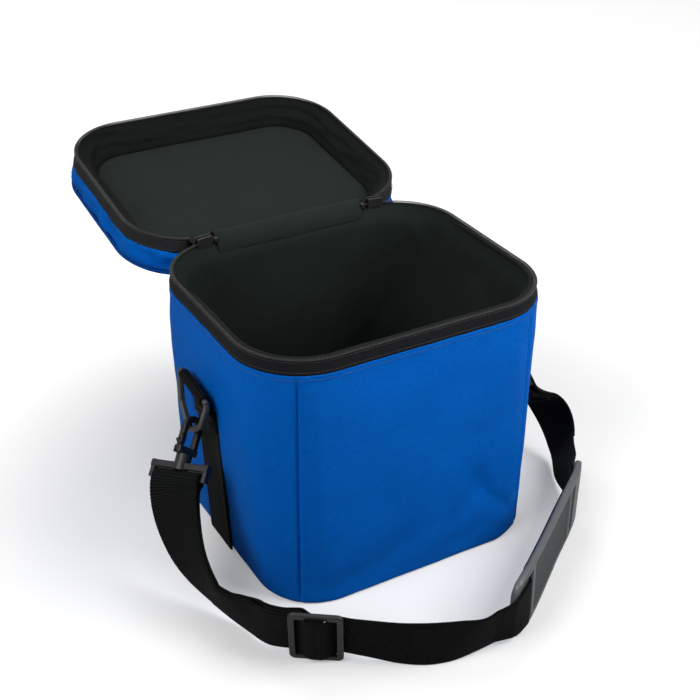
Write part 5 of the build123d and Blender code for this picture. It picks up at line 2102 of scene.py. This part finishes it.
@dataclass
class Anchor:
    """Webbing sewn up a side of the case and folded over the ring's bar."""

    finishes: Finishes
    side: Side
    width: float = 34.4
    thick: float = 1.8
    bar_radius: float = 2.0
    standoff: float = 9.3
    ring_height: float = 133.6
    gap: float = 0.15
    stitch_margin: float = 2.6
    roll: float = 0.0

    def wall_x(self, z: float) -> float:
        """Distance of the case's side from the middle at a height."""
        return OUTLINE.at(2.5, z)[0].x

    def profile(self) -> list[tuple[float, float, float]]:
        """Centre line of the webbing.

        Returns:
            Distance out, height and share of the ring's roll at each point.
        """
        out = self.gap + self.thick / 2
        high = self.ring_height
        bar_x = self.wall_x(high) + self.standoff
        turn = self.bar_radius + 0.3 + self.thick / 2
        # Height, distance from the wall and share of the roll of the lower and of the upper layer.
        lower = [(z, 0.35, 0.0) for z in steps(0.8, 96.0, 6.0)]
        lower += [(z, 0.25, 0.0) for z in (100.0, 104.0, 108.0)] + [(112.0, 0.2, 0.0), (118.0, 0.8, 0.3)]
        upper = [(116.0, 0.5, 0.2), (112.0, 0.3, 0.0), (104.0, 0.3, 0.0)]
        found = [(self.wall_x(z) + out + away, z, share) for z, away, share in lower]
        found.append((bar_x - turn * 1.02, high - 5.5, 0.8))
        for angle in steps(math.radians(180.0), math.radians(-90.0), math.radians(22.5)):
            found.append((bar_x + turn * math.cos(angle), high + turn * math.sin(angle), 1.0))
        found += [(bar_x - 0.6, high - 6.0, 0.9), (bar_x - 3.0, high - 11.0, 0.6)]
        return found + [(self.wall_x(z) + out + self.thick + away, z, share) for z, away, share in upper]

    def make(self) -> None:
        """Build the webbing and its sewing."""
        name = self.side.label
        fine = eased_path(self.profile(), 1.6)
        section = webbing_section(self.width, self.thick, 0.7)
        rows, cloth = [], []
        run = 0.0
        bar = Vector((0.0, 0.0, self.ring_height))
        for i, (x, z, share) in enumerate(fine):
            before, after = fine[max(i - 1, 0)], fine[min(i + 1, len(fine) - 1)]
            along = Vector((after[0] - before[0], 0.0, after[1] - before[1])).normalized()
            out = Vector((along.z, 0.0, -along.x))
            if i:
                run += math.dist(fine[i - 1][:2], (x, z))
            turn = Matrix.Rotation(math.radians(self.roll) * share, 3, "X")
            rows.append([turn @ (Vector((x, w, z)) + out * n - bar) + bar for w, n in section])
            for spot in rows[-1]:
                spot.x *= self.side.value
            cloth.append([(w, run) for w, _ in (*section, section[0])])
        maker = MeshMaker(f"anchor_band_{name}")
        flip = self.side is Side.RIGHT
        maker.grid(rows, cloth, around=True, flip=flip)
        maker.caps(rows, cloth, flip)
        maker.build([self.finishes.webbing], "case", "webbing", [f"{name}_anchor_web"])
        self.sewing(name)

    def sewing(self, name: str) -> None:
        """Rows of stitches down both edges and across the top.

        Args:
            name: left or right.
        """
        sewing = Stitching(f"anchor_stitches_{name}", 2.6, 3.3, 0.3)
        face = self.gap + self.thick + 0.35
        half = self.width / 2 - self.stitch_margin
        for y in (-half, half):
            sewing.row([self.sewn(y, z, face) for z in steps(4.0, 101.0, 4.0)])
        for z in (105.5, 111.5):
            sewing.row([self.sewn(y, z, face + self.thick + 0.05) for y in steps(-half, half, half / 2)])
        sewing.build(self.finishes.black_thread, "case", "webbing")

    def sewn(self, y: float, z: float, out: float) -> tuple[Vector, Vector]:
        """A place for a stitch at a distance out from the wall, with its outward direction."""
        outward = Vector((self.side.value, 0.0, 0.0))
        return outward * (self.wall_x(z) + out) + Vector((0.0, y, z)), outward


@dataclass
class Fittings:
    """Hard pieces that keep their CAD shape and get their finish here."""

    finishes: Finishes

    def make(self) -> None:
        """Give every hard piece its finish."""
        plastic, metal = self.finishes.plastic, self.finishes.metal
        kinds = {"ring": self.finishes.ring, "hook": plastic, "gate": plastic, "swivel_base": plastic,
                 "zip_slider": metal, "zip_pull": metal, "zip_stop": metal}
        nodes = {f"{kind}_{side.label}": kinds[kind] for kind in kinds for side in Side}
        for node, material in {"tri_glide": plastic, **nodes}.items():
            mesh = frame["nodes"][node].data
            mesh.materials.clear()
            mesh.materials.append(material)
            log.info("%s: %s", node, material.name)


# ---- stage

@dataclass(frozen=True)
class Lamp:
    """A soft square light: its place and side in metres and its power in watts."""

    name: str
    place: Point
    side: float
    power: float

    def make(self, target: Point) -> None:
        """Hang the lamp so that it looks at a target.

        Args:
            target: Place in metres.
        """
        data = bpy.data.lights.new(self.name, "AREA")
        data.shape = "SQUARE"
        data.size = self.side
        data.energy = self.power
        light = bpy.data.objects.new(self.name, data)
        bpy.context.scene.collection.objects.link(light)
        light.location = self.place
        ahead = Vector(target) - light.location
        light.rotation_euler = ahead.to_track_quat("-Z", "Y").to_euler()


@dataclass
class Stage:
    """Floor, soft lights and the camera."""

    eye: Point = (-385.5655, -666.0325, 588.4471)
    right: Point = (0.8677994, -0.4968498, 0.0080366)
    up: Point = (0.2494386, 0.4495441, 0.8577240)
    ahead: Point = (0.4297728, 0.7423277, -0.5140476)
    focal: float = 1266.986
    pixels: float = 700.0
    sensor: float = 36.0
    half_floor: float = 6.0
    target: Point = (0.0, 0.0, 0.1)
    clear_middle: Point = (0.0, -0.12, 0.0)
    clear_reach: tuple[float, float] = (0.24, 0.54)
    mirrored_share: float = 0.4
    # Brightness of the surroundings as a light and as they are seen.
    surroundings: tuple[float, float] = (0.18, 1.0)
    lamps: tuple[Lamp, ...] = (
        Lamp("key", (0.36, -0.44, 0.56), 0.4, 4.3), Lamp("fill", (-0.74, -0.22, 0.70), 0.5, 5.4),
        Lamp("rear", (0.1, 0.9, 1.7), 1.2, 12.0))

    def camera(self) -> None:
        """Place the camera."""
        data = bpy.data.cameras.new("camera")
        data.sensor_width = self.sensor
        data.lens = self.focal / self.pixels * self.sensor
        data.clip_start, data.clip_end = 0.05, 50.0
        camera = bpy.data.objects.new("camera", data)
        bpy.context.scene.collection.objects.link(camera)
        turn = Matrix((self.right, self.up, tuple(-c for c in self.ahead))).transposed().to_4x4()
        camera.matrix_world = Matrix.Translation(Vector(self.eye) * MM) @ turn
        bpy.context.scene.camera = camera

    def seen(self, g: Graph) -> Value:
        """How far the stage shows as the camera sees it.

        Args:
            g: Graph of the floor or the world.

        Returns:
            1 for the camera's rays, less for mirrored ones and 0 for all others.
        """
        path = g.node("ShaderNodeLightPath")
        mirrored = g.value(path, "Is Glossy Ray").math("MAXIMUM", g.value(path, "Is Transmission Ray"))
        return g.value(path, "Is Camera Ray").math("MAXIMUM", mirrored * self.mirrored_share)

    def floor(self) -> None:
        """White floor that keeps the case's soft shadow."""
        g = Graph(bpy.data.materials.new("floor"))
        shader = g.node("ShaderNodeBsdfDiffuse", None, {"Color": (0.70, 0.70, 0.70, 1.0)})
        away = g.node("ShaderNodeVectorMath", {"operation": "DISTANCE"},
                      {0: g.place(), 1: self.clear_middle})
        far = g.value(away, "Value").step(*self.clear_reach)
        glow = g.node("ShaderNodeEmission", None,
                      {"Color": (1.0, 1.0, 1.0, 1.0), "Strength": 0.24 + 0.45 * far})
        lit = g.node("ShaderNodeAddShader", None, {0: shader.outputs[0], 1: glow.outputs[0]})
        dull = g.node("ShaderNodeBsdfDiffuse", None, {"Color": (0.16, 0.16, 0.16, 1.0)})
        both = g.node("ShaderNodeMixShader", None,
                      {0: self.seen(g), 1: dull.outputs[0], 2: lit.outputs[0]})
        g.node("ShaderNodeOutputMaterial", None, {"Surface": both.outputs[0]})
        mesh = bpy.data.meshes.new("floor")
        corners = [(-1, -1), (1, -1), (1, 1), (-1, 1)]
        mesh.from_pydata([(x * self.half_floor, y * self.half_floor, 0) for x, y in corners], [],
                         [(0, 1, 2, 3)])
        mesh.materials.append(g.owner)
        plane = bpy.data.objects.new("floor", mesh)
        bpy.context.scene.collection.objects.link(plane)

    def world(self) -> None:
        """Plain surroundings, white to the camera and dim as a light."""
        g = Graph(bpy.data.worlds.new("studio"))
        dim, bright = self.surroundings
        strength = g.node("ShaderNodeMix", {"data_type": "FLOAT"}, {0: self.seen(g), 2: dim, 3: bright})
        back = g.node("ShaderNodeBackground", None, {"Strength": strength.outputs[0]})
        g.node("ShaderNodeOutputWorld", None, {"Surface": back.outputs[0]})
        bpy.context.scene.world = g.owner

    def make(self) -> None:
        """Set up the stage."""
        bpy.context.scene.view_settings.view_transform = "Standard"
        self.camera()
        self.floor()
        self.world()
        for lamp in self.lamps:
            lamp.make(self.target)


def main() -> None:
    """Dress the whole case and set the stage."""
    logging.basicConfig(level=logging.INFO, format="%(message)s")
    Stage().make()
    finishes = Finishes()
    BodyCover(finishes).make()
    BodyZip(finishes).make()
    BodyLining(finishes).make()
    Lid(finishes).make()
    HingeFold(finishes).make()
    route = StrapRoute()
    left = Swivel.of(Side.LEFT, route.left_across)
    right = Swivel.of(Side.RIGHT, route.right_across)
    strap = Strap(finishes, StrapLine(route, left, right))
    strap.make()
    ShoulderPad(finishes, strap).make()
    Anchor(finishes, Side.LEFT, roll=6.0).make()
    Anchor(finishes, Side.RIGHT).make()
    Fittings(finishes).make()


if __name__ == "__main__":
    main()
